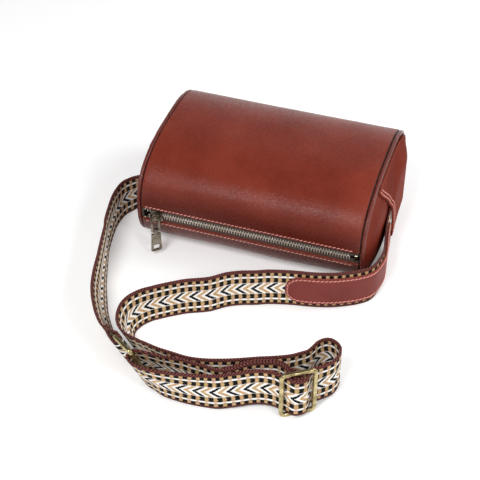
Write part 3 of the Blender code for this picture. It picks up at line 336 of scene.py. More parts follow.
class Wires:
    """Adds and joins the nodes of one node tree."""

    def __init__(self, tree):
        self.tree = tree

    def add(self, kind, **settings):
        made = self.tree.nodes.new(kind)
        for name, value in settings.items():
            setattr(made, name, value)
        return made

    def feed(self, socket, value):
        if isinstance(value, bpy.types.NodeSocket):
            self.tree.links.new(value, socket)
        else:
            socket.default_value = value

    def fill(self, inputs, values):
        for name, value in values.items():
            self.feed(inputs[name], value)

    def maths(self, operation, *values):
        made = self.add("ShaderNodeMath", operation=operation)
        for socket, value in zip(made.inputs, values):
            self.feed(socket, value)
        return made.outputs[0]

    def times(self, first, second):
        return self.maths("MULTIPLY", first, second)

    def colour_mix(self, factor, first, second):
        made = self.add("ShaderNodeMix", data_type="RGBA")
        for index, value in ((0, factor), (6, first), (7, second)):
            self.feed(made.inputs[index], value)
        return made.outputs[2]

    def spread(self, value, low, high, to_low=0.0, to_high=1.0):
        made = self.add("ShaderNodeMapRange")
        for socket, item in zip(made.inputs, (value, low, high, to_low, to_high)):
            self.feed(socket, item)
        return made.outputs[0]

    def noise(self, vector, scale, detail=2.0):
        made = self.add("ShaderNodeTexNoise")
        self.fill(made.inputs, {"Vector": vector, "Scale": scale, "Detail": detail})
        return made.outputs[0]

    def patches(self, vector, scale, detail, *levels):
        """Noise spread from two of its levels to none and one, or to two values given."""
        return self.spread(self.noise(vector, scale, detail), *levels)

    def attribute(self, name):
        return self.add("ShaderNodeAttribute", attribute_name=name).outputs["Fac"]

    def parts(self, vector):
        made = self.add("ShaderNodeSeparateXYZ")
        self.feed(made.inputs[0], vector)
        return made.outputs

    def cells(self, vector, scale, feature):
        made = self.add("ShaderNodeTexVoronoi", feature=feature)
        self.fill(made.inputs, {"Vector": vector, "Scale": scale})
        return made.outputs["Distance"]

    def between(self, value, low, high):
        above = self.maths("GREATER_THAN", value, low)
        return self.times(above, self.maths("LESS_THAN", value, high))

    def stepped(self, value, size):
        """The value held constant over each thread of a size."""
        return self.times(self.maths("FLOOR", self.maths("DIVIDE", value, size)), size)

    def fraction(self, value, period):
        return self.maths("FRACT", self.maths("DIVIDE", value, period))

    def bump(self, height, strength, distance):
        made = self.add("ShaderNodeBump")
        self.fill(made.inputs, {"Strength": strength, "Distance": distance, "Height": height})
        return made.outputs[0]

    def place(self):
        return self.add("ShaderNodeTexCoord").outputs["Object"]

    def group(self, name, **values):
        made = self.add("ShaderNodeGroup", node_tree=bpy.data.node_groups[name])
        for key, value in values.items():
            self.feed(made.inputs[key.replace("_", " ").title()], value)
        return made.outputs


SOCKETS = {"float": "NodeSocketFloat", "vector": "NodeSocketVector", "colour": "NodeSocketColor"}


def new_group(name, inputs, outputs):
    """A shader node group, its own wires, and its input and output nodes."""
    tree = bpy.data.node_groups.new(name, "ShaderNodeTree")
    for side, sockets in (("INPUT", inputs), ("OUTPUT", outputs)):
        for label, kind in sockets:
            tree.interface.new_socket(name=label, in_out=side, socket_type=SOCKETS[kind])
    wires = Wires(tree)
    return wires, wires.add("NodeGroupInput").outputs, wires.add("NodeGroupOutput").inputs


def make_grain_group():
    """Leather grain: fine creased cells with a softer noise over them."""
    inputs = (("Vector", "vector"), ("Cell Scale", "float"))
    wires, given, out = new_group("leather_grain", inputs, (("Height", "float"),))
    warp = wires.add("ShaderNodeVectorMath", operation="SCALE")
    wires.feed(warp.inputs[0], given["Vector"])
    wires.feed(warp.inputs["Scale"], given["Cell Scale"])
    edges = wires.spread(wires.cells(warp.outputs[0], 1.0, "DISTANCE_TO_EDGE"), 0.0, 0.22)
    pebbles = wires.noise(warp.outputs[0], 0.42, 2.0)
    height = wires.maths("MULTIPLY_ADD", pebbles, 3.2, edges)
    fine = wires.noise(warp.outputs[0], 2.3, 3.0)
    wires.feed(out["Height"], wires.maths("MULTIPLY_ADD", fine, 0.45, height))


def make_tone_group():
    """Colour of dyed leather: clouds, small mottling, paler rubbed edges, dark edge paint that
    also paints the shade in the seams, and painted shade beside the zip.
    """
    inputs = (("Vector", "vector"), ("Rub", "float"), ("Edge", "float"), ("Deep", "float"))
    inputs += tuple((name, "colour") for name in ("Dark", "Middle", "Pale"))
    wires, given, out = new_group("leather_tone", inputs, (("Colour", "colour"),))
    clouds = wires.patches(given["Vector"], 21.0, 3.0, 0.36, 0.66)
    mottle = wires.patches(given["Vector"], 260.0, 4.0, 0.40, 0.72)
    colour = wires.colour_mix(clouds, given["Dark"], given["Middle"])
    colour = wires.colour_mix(wires.times(mottle, 0.35), colour, given["Middle"])
    # Deep is painted shade: a darker colour where the front lies in shade beside the zip.
    painted_zip_shade = wires.colour_mix(0.42, given["Dark"], (0.02, 0.002, 0.001, 1.0))
    colour = wires.colour_mix(given["Deep"], colour, painted_zip_shade)
    broken = wires.patches(given["Vector"], 420.0, 3.0, 0.35, 0.70)
    wear = wires.times(wires.times(broken, given["Rub"]), 0.8)
    colour = wires.colour_mix(wear, colour, given["Pale"])
    # Edge: dark edge paint at the seams, which also paints the shade in the gap beside the piping.
    seam_paint_and_shade = wires.colour_mix(0.85, given["Dark"], (0.0, 0.0, 0.0, 1.0))
    wires.feed(out["Colour"], wires.colour_mix(given["Edge"], colour, seam_paint_and_shade))


def make_patina_group():
    """Antiqued metal: brown in broad stains, worn bright in small ones, with fine scratches."""
    inputs = (("Vector", "vector"), ("Bright", "colour"), ("Stained", "colour"))
    outputs = (("Colour", "colour"), ("Roughness", "float"), ("Height", "float"))
    wires, given, out = new_group("metal_patina", inputs, outputs)
    stains = wires.patches(given["Vector"], 170.0, 4.0, 0.40, 0.62)
    scratch = wires.add("ShaderNodeMapping")
    scratch.inputs["Scale"].default_value = (3600.0, 3600.0, 500.0)
    wires.feed(scratch.inputs["Vector"], given["Vector"])
    lines = wires.noise(scratch.outputs[0], 1.0, 2.0)
    wires.feed(out["Colour"], wires.colour_mix(stains, given["Bright"], given["Stained"]))
    wires.feed(out["Roughness"], wires.spread(stains, 0.0, 1.0, 0.22, 0.38))
    wires.feed(out["Height"], wires.maths("MULTIPLY_ADD", stains, 0.5, lines))


def make_weave_group():
    """Plain weave from two coordinates in metres: ribs over and under each other."""
    inputs = (("Across", "float"), ("Along", "float"), ("Thread", "float"))
    wires, given, out = new_group("plain_weave", inputs, (("Height", "float"), ("Shade", "float")))
    across = wires.maths("DIVIDE", given["Across"], given["Thread"])
    along = wires.maths("DIVIDE", given["Along"], given["Thread"])
    one = wires.maths("SINE", wires.times(across, math.pi))
    two = wires.maths("SINE", wires.times(along, math.pi))
    height = wires.maths("ABSOLUTE", wires.times(one, two))
    wires.feed(out["Height"], height)
    wires.feed(out["Shade"], wires.spread(height, 0.0, 0.7, 0.78, 1.0))


def row_of_squares(wires, across, along, low, high, dark, pale):
    """A woven row of black and tan squares, and the part of the width it covers."""
    jag = wires.times(wires.maths("PINGPONG", across, JAG_PERIOD), JAG_DEPTH)
    turn = wires.fraction(along, SQUARES_PERIOD)
    black = wires.between(turn, jag, wires.maths("SUBTRACT", 0.70, jag))
    return wires.between(across, low, high), wires.colour_mix(black, pale, dark)


def make_band_group():
    """The webbing's woven rows: border, squares, pale lines and chevrons, from metres."""
    inputs = (("Across", "float"), ("Along", "float"))
    inputs += tuple((name, "colour") for name in ("Border", "Black", "Tan", "Orange", "White"))
    outputs = (("Colour", "colour"), ("Height", "float"))
    wires, given, out = new_group("woven_band", inputs, outputs)
    side = wires.maths("ABSOLUTE", given["Across"])
    across = wires.stepped(side, WEFT)
    along = wires.stepped(given["Along"], WEFT)
    black, tan = given["Black"], given["Tan"]

    slanted = wires.maths("MULTIPLY_ADD", side, 0.9, given["Along"])
    tweed = wires.between(wires.fraction(slanted, TWEED_PERIOD), 0.0, 0.46)
    colour = wires.colour_mix(wires.times(tweed, 0.92), given["Border"], black)
    patch = wires.add("ShaderNodeCombineXYZ")
    for socket, value, size in zip(patch.inputs, (side, given["Along"]), PATCH_SIZE):
        wires.feed(socket, wires.stepped(value, size))
    peachy = wires.patches(patch.outputs[0], 1100.0, 0.0, 0.44, 0.62, 0.0, 0.55)
    golden = wires.colour_mix(peachy, tan, given["Orange"])
    for low, high in SQUARE_ROWS:
        mask, squares = row_of_squares(wires, across, along, low, high, black, golden)
        colour = wires.colour_mix(mask, colour, squares)
    dash = wires.between(wires.fraction(along, SQUARES_PERIOD), 0.0, 0.70)
    blush = wires.colour_mix(0.4, given["White"], given["Orange"])
    line = wires.colour_mix(dash, blush, given["White"])
    slim = wires.maths("MULTIPLY_ADD", dash, LINE_DASH, LINE_HALF)
    centred = wires.maths("ABSOLUTE", wires.maths("SUBTRACT", side, LINE_PLACE))
    colour = wires.colour_mix(wires.maths("LESS_THAN", centred, slim), colour, line)
    fine_dash = wires.between(wires.fraction(along, DASH_PERIOD), 0.0, 0.4)
    pale = wires.colour_mix(fine_dash, given["White"], blush)
    colour = wires.colour_mix(wires.between(across, *PALE_ROW), colour, pale)

    slope = wires.maths("MULTIPLY_ADD", across, 1.25, along)
    point = wires.fraction(slope, CHEVRON_PERIOD)
    field = wires.colour_mix(wires.between(point, 0.0, 0.27), given["White"], black)
    field = wires.colour_mix(wires.between(point, 0.50, 0.78), field, golden)
    colour = wires.colour_mix(wires.between(across, -1.0, FIELD_HALF), colour, field)

    weave = wires.group(
        "plain_weave", across=given["Across"], along=given["Along"], thread=RIB
    )
    shade = wires.add("ShaderNodeMix", data_type="RGBA", blend_type="MULTIPLY")
    shade.inputs[0].default_value = 0.45
    wires.feed(shade.inputs[6], colour)
    wires.feed(shade.inputs[7], weave["Shade"])
    wires.feed(out["Colour"], shade.outputs[2])
    wires.feed(out["Height"], weave["Height"])


# Materials


def new_material(name):
    made = bpy.data.materials.new(name)
    made.use_nodes = True
    wires = Wires(made.node_tree)
    return made, wires, made.node_tree.nodes["Principled BSDF"].inputs


def leather_material(name, dark, middle, pale, roughness, bump, gloss):
    made, wires, shader = new_material(name)
    place = wires.place()
    tone = wires.group(
        "leather_tone",
        vector=place,
        rub=wires.attribute("rub"),
        # edge carries the dark edge paint, which also paints the shade in the seams
        edge=wires.attribute("edge"),
        # deep carries the painted shade beside the zip
        deep=wires.attribute("deep"),
        dark=opaque(dark),
        middle=opaque(middle),
        pale=opaque(pale),
    )
    grain = wires.group("leather_grain", vector=place, cell_scale=GRAIN_SCALE)["Height"]
    soft = wires.patches(place, 70.0, 2.0, 0.3, 0.7, -0.03, 0.03)
    pores = wires.patches(place, 620.0, 2.0, 0.32, 0.68, roughness - 0.07, roughness + 0.10)
    wires.fill(shader, {
        "Base Color": tone["Colour"],
        "Roughness": wires.maths("ADD", soft, pores),
        "Normal": wires.bump(grain, bump, GRAIN_DEPTH),
        "Specular IOR Level": gloss,
    })
    return made


def weave_material(name, colour, shade, thread, axes=("X", "Z")):
    """Cloth woven from its object coordinates, for tapes and linings."""
    made, wires, shader = new_material(name)
    parts = wires.parts(wires.place())
    weave = wires.group(
        "plain_weave", across=parts[axes[0]], along=parts[axes[1]], thread=thread
    )
    mottle = wires.patches(wires.place(), 600.0, 2.0, 0.35, 0.65)
    depth = wires.times(weave["Shade"], mottle)
    tint = wires.colour_mix(depth, opaque(shade), opaque(colour))
    wires.fill(shader, {
        "Base Color": tint,
        "Roughness": 0.86,
        "Sheen Weight": 0.2,
        "Normal": wires.bump(weave["Height"], 0.6, thread / 4),
    })
    return made


def fibre_material(name, colour, shade, scale, detail, roughness, bump, depth):
    """Felt or thread: fine fibres in two tones."""
    made, wires, shader = new_material(name)
    fibres = wires.noise(wires.place(), scale, detail)
    tint = wires.colour_mix(wires.spread(fibres, 0.35, 0.65), opaque(shade), opaque(colour))
    normal = wires.bump(fibres, bump, depth)
    wires.fill(shader, {"Base Color": tint, "Roughness": roughness, "Normal": normal})
    return made


def metal_material(name, bright, stained, metallic=1.0):
    made, wires, shader = new_material(name)
    patina = wires.group(
        "metal_patina", vector=wires.place(), bright=opaque(bright), stained=opaque(stained)
    )
    wires.fill(shader, {
        "Base Color": patina["Colour"],
        "Roughness": patina["Roughness"],
        "Metallic": metallic,
        "Normal": wires.bump(patina["Height"], 0.18, PATINA_DEPTH),
    })
    return made


def webbing_material(name, colours):
    made, wires, shader = new_material(name)
    parts = wires.parts(wires.add("ShaderNodeUVMap", uv_map="weave").outputs[0])
    band = wires.group(
        "woven_band",
        across=parts["X"],
        along=parts["Y"],
        border=opaque(colours.webbing_border),
        black=opaque(colours.webbing_black),
        tan=opaque(colours.webbing_tan),
        orange=opaque(colours.webbing_orange),
        white=opaque(colours.webbing_white),
    )
    wires.fill(shader, {
        "Base Color": band["Colour"],
        "Roughness": 0.85,
        "Specular IOR Level": 0.12,
        "Normal": wires.bump(band["Height"], 0.6, CLOTH_DEPTH),
    })
    return made


MATERIALS = {}


def make_finishes():
    """The node groups, and the materials that use them."""
    make_grain_group()
    make_tone_group()
    make_patina_group()
    make_weave_group()
    make_band_group()
    colours = bpy.context.scene.bag_colours
    dark, middle, pale = colours.leather_dark, colours.leather_middle, colours.leather_pale
    thread = (colours.thread, colours.thread_shade)
    felt = (colours.felt, colours.felt_shade)
    lining = (colours.lining, colours.lining_shade, LINING_THREAD)
    for key, name, dyes, roughness, bump, gloss in (
        ("leather", "wrap leather", (dark, middle, pale), 0.28, 0.42, 0.24),
        ("panel", "panel leather", (dark, middle, pale), 0.58, 0.6, 0.03),
        ("piping", "piping leather", (colours.piping_dark, dark, pale), 0.30, 0.5, 0.45),
        ("tab", "tab leather", (colours.tab_dark, colours.tab_middle, pale), 0.50, 0.6, 0.14),
    ):
        MATERIALS[key] = leather_material(name, *dyes, roughness, bump, gloss)
    for key, name, tones, scale, detail, roughness, bump, depth in (
        ("thread", "stitching thread", thread, 1500.0, 3.0, 0.6, 0.5, 0.00008),
        ("felt", "backing felt", felt, 900.0, 5.0, 0.92, 0.7, 0.0002),
    ):
        MATERIALS[key] = fibre_material(name, *tones, scale, detail, roughness, bump, depth)
    MATERIALS["webbing"] = webbing_material("woven webbing", colours)
    MATERIALS["tape"] = weave_material("zip tape", colours.tape, colours.tape_shade, TAPE_THREAD)
    MATERIALS["bead"] = weave_material("zip bead", colours.bead, colours.bead, BEAD_THREAD)
    MATERIALS["lining"] = weave_material("lining cotton", *lining, axes=("X", "Y"))
    MATERIALS["lining_end"] = weave_material("lining end cotton", *lining, axes=("Y", "Z"))
    MATERIALS["zip"] = metal_material("zip metal", colours.zip_metal, colours.zip_stain, 0.55)
    MATERIALS["pull"] = metal_material("pull metal", colours.pull_metal, colours.pull_stain)
    MATERIALS["brass"] = metal_material("buckle brass", colours.brass, colours.brass_stain)


# Putting pieces in the scene


def new_object(name, data):
    made = bpy.data.objects.new(name, data)
    bpy.context.scene.collection.objects.link(made)
    return made


def float_layers(bm, *names):
    return [bm.verts.layers.float.new(name) for name in names]


def place_mesh(name, bm, material, body, nodes=(), sharp_degrees=40.0):
    """Puts a bmesh in the scene as one piece that rides on a body and stands for nodes."""
    mesh = bpy.data.meshes.new(name)
    bm.to_mesh(mesh)
    bm.free()
    mesh.shade_smooth()
    mesh.set_sharp_from_angle(angle=math.radians(sharp_degrees))
    mesh.materials.append(MATERIALS[material])
    piece = new_object(name, mesh)
    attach(piece, body)
    if nodes:
        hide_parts(*nodes)
    return piece


def thicken(piece, thickness, offset=-1.0):
    wall = piece.modifiers.new("Wall", "SOLIDIFY")
    wall.thickness = thickness
    wall.offset = offset
    wall.use_even_offset = True


def ease_edges(piece, width, segments=2):
    edge = piece.modifiers.new("Edge", "BEVEL")
    edge.width = width
    edge.segments = segments
    edge.limit_method = "ANGLE"


def mapped_grid(bm, columns, rows, place):
    """A grid of faces whose corners stand where place(column, row) puts them."""
    made = bmesh.ops.create_grid(bm, x_segments=columns, y_segments=rows, size=1.0)["verts"]
    for vert in made:
        column = round((vert.co.x + 1) / 2 * columns)
        row = round((vert.co.y + 1) / 2 * rows)
        place(vert, column, row)
    return made


def face_away(bm, centre):
    """Turns an open sheet so that its faces point away from a point."""
    bmesh.ops.recalc_face_normals(bm, faces=bm.faces)
    facing = sum((f.calc_center_median() - centre).dot(f.normal) * f.calc_area() for f in bm.faces)
    if facing < 0:
        bmesh.ops.reverse_faces(bm, faces=bm.faces)


def boundary(bm):
    return [edge for edge in bm.edges if edge.is_boundary]


def close_ends(bm):
    bmesh.ops.holes_fill(bm, edges=boundary(bm), sides=0)
    bmesh.ops.recalc_face_normals(bm, faces=bm.faces)


def run_at(points, i):
    """The direction of an open line at one of its points: from the one before to the next."""
    return points[min(i + 1, len(points) - 1)] - points[max(i - 1, 0)]


def distances(points):
    """How far along a line each of its points is."""
    made = [0.0]
    for a, b in zip(points, points[1:]):
        made.append(made[-1] + (b - a).length)
    return made


def tube(bm, path, normal, radius, sides=16, closed=True):
    """A round bar along a flat path; normal is square to the path's plane."""
    count = len(path)
    rings = []
    for i, spot in enumerate(path):
        run = path[(i + 1) % count] - path[i - 1] if closed else run_at(path, i)
        out = run.cross(normal).normalized()
        rings.append((spot, out))
    last = count if closed else count - 1

    def place(vert, column, row):
        spot, out = rings[column % count]
        angle = math.tau * row / sides
        size = radius(column % count, angle)
        vert.co = spot + out * (size * math.cos(angle)) + normal * (size * math.sin(angle))

    mapped_grid(bm, last, sides, place)
    bmesh.ops.remove_doubles(bm, verts=bm.verts, dist=MERGE)
    if closed:
        bmesh.ops.recalc_face_normals(bm, faces=bm.faces)
    else:
        close_ends(bm)


def curve_part(points, i, count):
    """Shares and spots of a smooth curve through points, from point i up to the next one."""
    before, a = points[max(i - 1, 0)], points[i]
    b, after = points[i + 1], points[min(i + 2, len(points) - 1)]
    for k in range(count):
        t = k / count
        yield t, (
            a * 2
            + (b - before) * t
            + (before * 2 - a * 5 + b * 4 - after) * t**2
            + (a * 3 - before - b * 3 + after) * t**3
        ) / 2


def smooth_line(points, steps):
    """Points read from a smooth curve through the points given."""
    parts = [curve_part(points, i, steps) for i in range(len(points) - 1)]
    return [spot for part in parts for _, spot in part] + [points[-1]]


# Section of the bag


def signed_power(value, power):
    return math.copysign(abs(value) ** power, value)


def section_reach(rise, inset):
    """How far the section reaches from its middle, over it or under it."""
    return MID_HEIGHT - inset if rise > 0 else MID_HEIGHT + UNDERSIDE_SAG - inset


def section_point(angle, inset=0.0, size=1.0):
    """A point (y, z) of the section; angle 0 is the middle of the front and grows over the top."""
    power = 2 / SECTION_POWER_SHARE
    across = signed_power(math.cos(angle), power)
    upward = signed_power(math.sin(angle), power)
    half_depth = HALF_DEPTH - inset
    z = max(MID_HEIGHT + section_reach(upward, inset) * upward, inset)
    return -half_depth * across * size, MID_HEIGHT + (z - MID_HEIGHT) * size


def front_angle(z, inset=0.0):
    """The angle at which the front of the section is at height z."""
    rise = z - MID_HEIGHT
    return math.asin(signed_power(rise / section_reach(rise, inset), SECTION_POWER_SHARE / 2))


def section_share(y, z, inset):
    """The size of the scaled section that passes through (y, z)."""
    rise = z - MID_HEIGHT
    power = SECTION_POWER_SHARE
    across, upward = y / (HALF_DEPTH - inset), rise / section_reach(rise, inset)
    level = (abs(across) ** power + abs(upward) ** power) ** (1 / power)
    return max(level, -rise / (MID_HEIGHT - inset))


def fine_section(inset, start, end, count=1400):
    """Angles with their distance along the section, from one angle to another."""
    made = [(start, 0.0)]
    before = Vector(section_point(start, inset))
    for i in range(1, count + 1):
        angle = start + (end - start) * i / count
        spot = Vector(section_point(angle, inset))
        made.append((angle, made[-1][1] + (spot - before).length))
        before = spot
    return made


def even_steps(total, step, fine):
    """Distances from 0 to total: close together at both ends, even between."""
    ends = [d for d in fine if d < total / 2]
    middle = total - 2 * ends[-1]
    count = max(1, round(middle / step))
    inside = [ends[-1] + middle * i / count for i in range(1, count)]
    return ends + inside + [total - d for d in reversed(ends)]


def angle_at(section, distance):
    """The angle at a distance along a fine section."""
    low, high = 0, len(section) - 1
    while high - low > 1:
        middle = (low + high) // 2
        if section[middle][1] > distance:
            high = middle
        else:
            low = middle
    (a, start), (b, end) = section[low], section[high]
    return a + (b - a) * (distance - start) / max(end - start, MERGE)


def section_normal(angle, inset):
    """The direction (y, z) square to the section, outwards."""
    a = Vector(section_point(angle - NORMAL_TURN, inset))
    b = Vector(section_point(angle + NORMAL_TURN, inset))
    run = (b - a).normalized()
    return Vector((-run.y, run.x))


# How soft the body is


def ramp(value, low, high):
    share = min(max((value - low) / (high - low), 0.0), 1.0)
    return share * share * (3 - 2 * share)


def rounded(distance, radius):
    """How far an edge of a radius falls away at a distance from it."""
    if distance >= radius:
        return 0.0
    return radius - math.sqrt(max(radius**2 - (radius - distance) ** 2, 0.0))


def half_turn(angle):
    """An angle brought to within half a turn of the front."""
    return (angle + math.pi) % math.tau - math.pi


def bell(value, middle, reach):
    return math.exp(-(((value - middle) / reach) ** 2))


def swell(x, angle):
    """How far the soft body stands off its section: slack on top, full in front and behind."""
    sizes = bpy.context.scene.bag_sizes
    turn = half_turn(angle)
    middle = 1 - abs(x / WRAP_END) ** 3
    loose = ramp(abs(turn), *LOOSE_TURNS)
    resting = ramp(-math.sin(turn), *RESTING_SHARES)
    free = middle * loose * (1 - resting)
    sag = -sizes.top_sag * max(math.sin(turn), 0.0) ** 4
    full = sizes.front_swell * bell(abs(turn), *FULL_TURN)
    spot = Vector((x * 19, math.cos(turn) * 1.5, math.sin(turn) * 1.5))
    uneven = sizes.unevenness * noise.noise(spot)
    return free * (sag + full + uneven)


def outer_shape(x, angle, from_slot, from_seam):
    """How far the wrap's outer face stands off its section, with its turned edge and its seams."""
    sizes = bpy.context.scene.bag_sizes
    hem = sizes.hem_rise * (1 - ramp(from_slot, *HEM_SPREAD))
    groove = -sizes.hem_rise * GROOVE_SHARE * bell(from_slot, ZIP_STITCH_INSET, GROOVE_HALF)
    near = math.exp(-from_seam / PUCKER_REACH)
    spot = Vector((x * 8, angle * 26, 3.1))
    pucker = sizes.seam_pucker * near * noise.noise(spot)
    facing = bell(half_turn(angle), *FACING_TURN)
    fall = sizes.seam_fall * facing * max(1 - from_seam / SEAM_FALL_WIDTH, 0.0) ** 2
    roll = sizes.seam_roll * (1 - ROLL_LOST_IN_FRONT * facing)
    edges = rounded(from_slot, sizes.turned_edge) + rounded(from_seam, roll)
    shaped = max(hem + groove + pucker - fall - edges, LEATHER_LEAST - LEATHER)
    return swell(x, angle) + shaped


def shell_spot(x, angle, inset, lift):
    y, z = section_point(angle, inset)
    normal = section_normal(angle, inset)
    return Vector((x, y + normal.x * lift, max(z + normal.y * lift, 0.0)))


FINE_EDGE = (0.0, 0.00012, 0.0003, 0.00055, 0.0009, 0.0013, 0.0018, 0.0025, 0.0036, 0.005)


def shell_rows(inset, slot_half):
    start = front_angle(ZIP_HEIGHT + slot_half, inset)
    end = math.tau + front_angle(ZIP_HEIGHT - slot_half, inset)
    section = fine_section(inset, start, end)
    total = section[-1][1]
    steps = even_steps(total, WRAP_ROW_STEP, FINE_EDGE)
    return [(angle_at(section, d), min(d, total - d)) for d in steps]


def make_wrap():
    """The leather wrap: an outer and an inner face joined round their edges."""
    rows = shell_rows(0.0, ZIP_SLOT_HALF)
    stations = even_steps(2 * WRAP_END, WRAP_STATION_STEP, FINE_EDGE)
    bm = bmesh.new()
    rub, edge, deep = float_layers(bm, "rub", "edge", "deep")

    def outer(vert, column, row):
        along = stations[column]
        angle, from_slot = rows[row]
        from_seam = min(along, 2 * WRAP_END - along)
        x = along - WRAP_END
        vert.co = shell_spot(x, angle, 0.0, outer_shape(x, angle, from_slot, from_seam))
        near = math.exp(-from_slot / RUB_REACH_ZIP) + 0.5 * math.exp(-from_seam / RUB_REACH_SEAM)
        vert[rub] = min(near, 1.0) * 0.8
        # Dark edge paint at the seams, which also paints the shade in the gap by the piping.
        vert[edge] = 1 - ramp(from_seam, *SEAM_PAINT_AND_SHADE_SPREAD)
        # Painted shade: the front beside the zip is darkened as if it lay in shade.
        vert[deep] = 0.9 * (1 - ramp(from_slot, *PAINTED_ZIP_SHADE_SPREAD))

    def inner(vert, column, row):
        angle, _ = rows[row]
        x = stations[column] - WRAP_END
        vert.co = shell_spot(x, angle, LEATHER, swell(x, angle))
        # The same edge paint and painted seam shade on the inner face at the ends.
        vert[edge] = 1 - ramp(WRAP_END - abs(x), *SEAM_PAINT_AND_SHADE_SPREAD)

    for face in (outer, inner):
        mapped_grid(bm, len(stations) - 1, len(rows) - 1, face)
    bmesh.ops.bridge_loops(bm, edges=boundary(bm))
    bmesh.ops.recalc_face_normals(bm, faces=bm.faces)
    place_mesh("leather_wrap", bm, "leather", "bag", ["body_wrap"])


def make_layer(name, inset, slot_half, reach, thickness, material, node):
    """An inner layer that follows the wrap's soft shape."""
    rows = shell_rows(inset, slot_half)
    stations = even_steps(2 * reach, LAYER_STATION_STEP, FINE_EDGE[:1] + FINE_EDGE[-1:])
    bm = bmesh.new()

    def put(vert, column, row):
        x = stations[column] - reach
        vert.co = shell_spot(x, rows[row][0], inset, swell(x, rows[row][0]))

    mapped_grid(bm, len(stations) - 1, len(rows) - 1, put)
    face_away(bm, Vector((0, 0, MID_HEIGHT)))
    piece = place_mesh(name, bm, material, "bag", [node])
    thicken(piece, thickness)


def make_inside():
    reach = (BACKING_INSET, TAPE_REACH + FIT, WRAP_END)
    make_layer("felt_backing", *reach, BACKING, "felt", "wrap_backing")
    reach = (LINING_INSET, LINING_SLOT_HALF, LINING_END)
    make_layer("cotton_lining", *reach, LINING, "lining", "lining_wrap")
    for side, word in SIDES:
        piece = end_sheet(
            f"cotton_end_{word}",
            side,
            panel_outline(LINING_INSET),
            SECTION_MIDDLE,
            lambda y, z: LINING_END + FIT,
            "lining_end",
            [f"lining_end_{word}"],
            8,
        )
        thicken(piece, LINING, 1.0)
    make_slip_pocket()


def make_slip_pocket():
    """A cotton patch pocket, flat on the lining at its rim and a little loose inside."""
    outline = rounded_rectangle(
        SLIP_POCKET_LENGTH / 2, SLIP_POCKET_WIDTH / 2, SLIP_POCKET_CORNER, 8
    )
    base = LINING_INSET + LINING + FIT
    rings = 14
    bm = bmesh.new()

    def put(vert, column, row):
        x, y = outline[column % len(outline)]
        share = 1 - (row / rings) ** 1.3
        hollow = noise.noise(Vector((x * 60, y * 60, share)))
        lift = SLIP_POCKET_SLACK * ramp(row, 2, 8) * (0.6 + hollow)
        vert.co = (x * share, y * share, base + max(lift, 0.0))

    mapped_grid(bm, len(outline), rings, put)
    bmesh.ops.remove_doubles(bm, verts=bm.verts, dist=MERGE)
    face_away(bm, Vector((0, 0, 0)))
    piece = place_mesh("cotton_slip_pocket", bm, "lining", "bag", ["inner_slip_pocket"])
    thicken(piece, LINING, 1.0)


# End panels, strap pockets and piping


def rounded_rectangle(half_width, half_height, corner, steps):
    """Points of a rounded rectangle round its middle, anticlockwise."""
    points = []
    for quarter in range(4):
        sx = 1 if quarter in (0, 3) else -1
        sy = 1 if quarter in (0, 1) else -1
        for i in range(steps + 1):
            angle = math.pi / 2 * (quarter + i / steps)
            x = sx * (half_width - corner) + corner * math.cos(angle)
            y = sy * (half_height - corner) + corner * math.sin(angle)
            points.append((x, y))
    return points


def panel_outline(inset, size=1.0, step=PANEL_STEP):
    """Points (y, z) round the section, evenly spaced."""
    section = fine_section(inset, 0.0, math.tau)
    total = section[-1][1]
    count = round(total / step)
    angles = [angle_at(section, total * i / count) for i in range(count)]
    return [section_point(angle, inset, size) for angle in angles]


def read_line(line, depth):
    """The height of a line of (y, z) points at a depth; the points run from front to back."""
    for (a, low), (b, high) in zip(line, line[1:]):
        if depth <= b:
            return low + (high - low) * min(max((depth - a) / (b - a), 0.0), 1.0)
    return line[-1][1]


def end_fullness(y, z):
    """How full an end is at (y, z): flat at its rim, falling away at the top and behind."""
    share = min(section_share(y, z, RIM_INSET), 1.0)
    top = 1 - ramp(z, *PANEL_TOP_FALL)
    behind = 1 - ramp(y, *PANEL_REAR_FALL)
    return (1 - share**6) * top * behind


def webbing_cover(y, z):
    """One over the webbing in the pocket, none at the rim: how far the pocket is lifted."""
    beyond = (
        (z - read_line(WEB_TOP_LINE, y), COVER_OVER),
        (read_line(WEB_BOTTOM_LINE, y) - z, COVER_UNDER),
        (y - WEB_END, COVER_REAR),
    )
    shares = [max(distance - margin, 0.0) / reach for distance, (margin, reach) in beyond]
    return 1 - ramp(math.hypot(*shares), 0.0, 1.0)


def end_sheet(name, side, outline, centre, height, material, nodes, rings):
    """A sheet over the bag's end: rings that run in from its outline to a middle point."""
    count = len(outline)
    bm = bmesh.new()
    (rub,) = float_layers(bm, "rub")

    def put(vert, column, row):
        y, z = outline[column % count]
        share = (row / rings) ** 1.5
        y, z = y + (centre[0] - y) * share, z + (centre[1] - z) * share
        vert.co = (side * height(y, z), y, z)
        vert[rub] = math.exp(-row / 1.6)

    mapped_grid(bm, count, rings, put)
    bmesh.ops.remove_doubles(bm, verts=bm.verts, dist=MERGE)
    face_away(bm, Vector((0, *centre)))
    return place_mesh(name, bm, material, "bag", nodes)


def panel_face(y, z):
    """Where the end panel's outer face is, with its gathers at the seam."""
    sizes = bpy.context.scene.bag_sizes
    share = section_share(y, z, RIM_INSET)
    near = math.exp(-max(1 - share, 0.0) / 0.10)
    around = math.atan2(z - MID_HEIGHT, y)
    pucker = sizes.seam_pucker * near * abs(noise.noise(Vector((around * 7, share * 4, 0.7))))
    return RIM_PLACE + PANEL_FULL * end_fullness(y, z) - pucker


def panel_height(y, z):
    return panel_face(y, z) - LEATHER


def board_height(y, z):
    return RIM_PLACE + PANEL_FULL * end_fullness(y, z) - LEATHER - 2 * FIT - STIFFENER


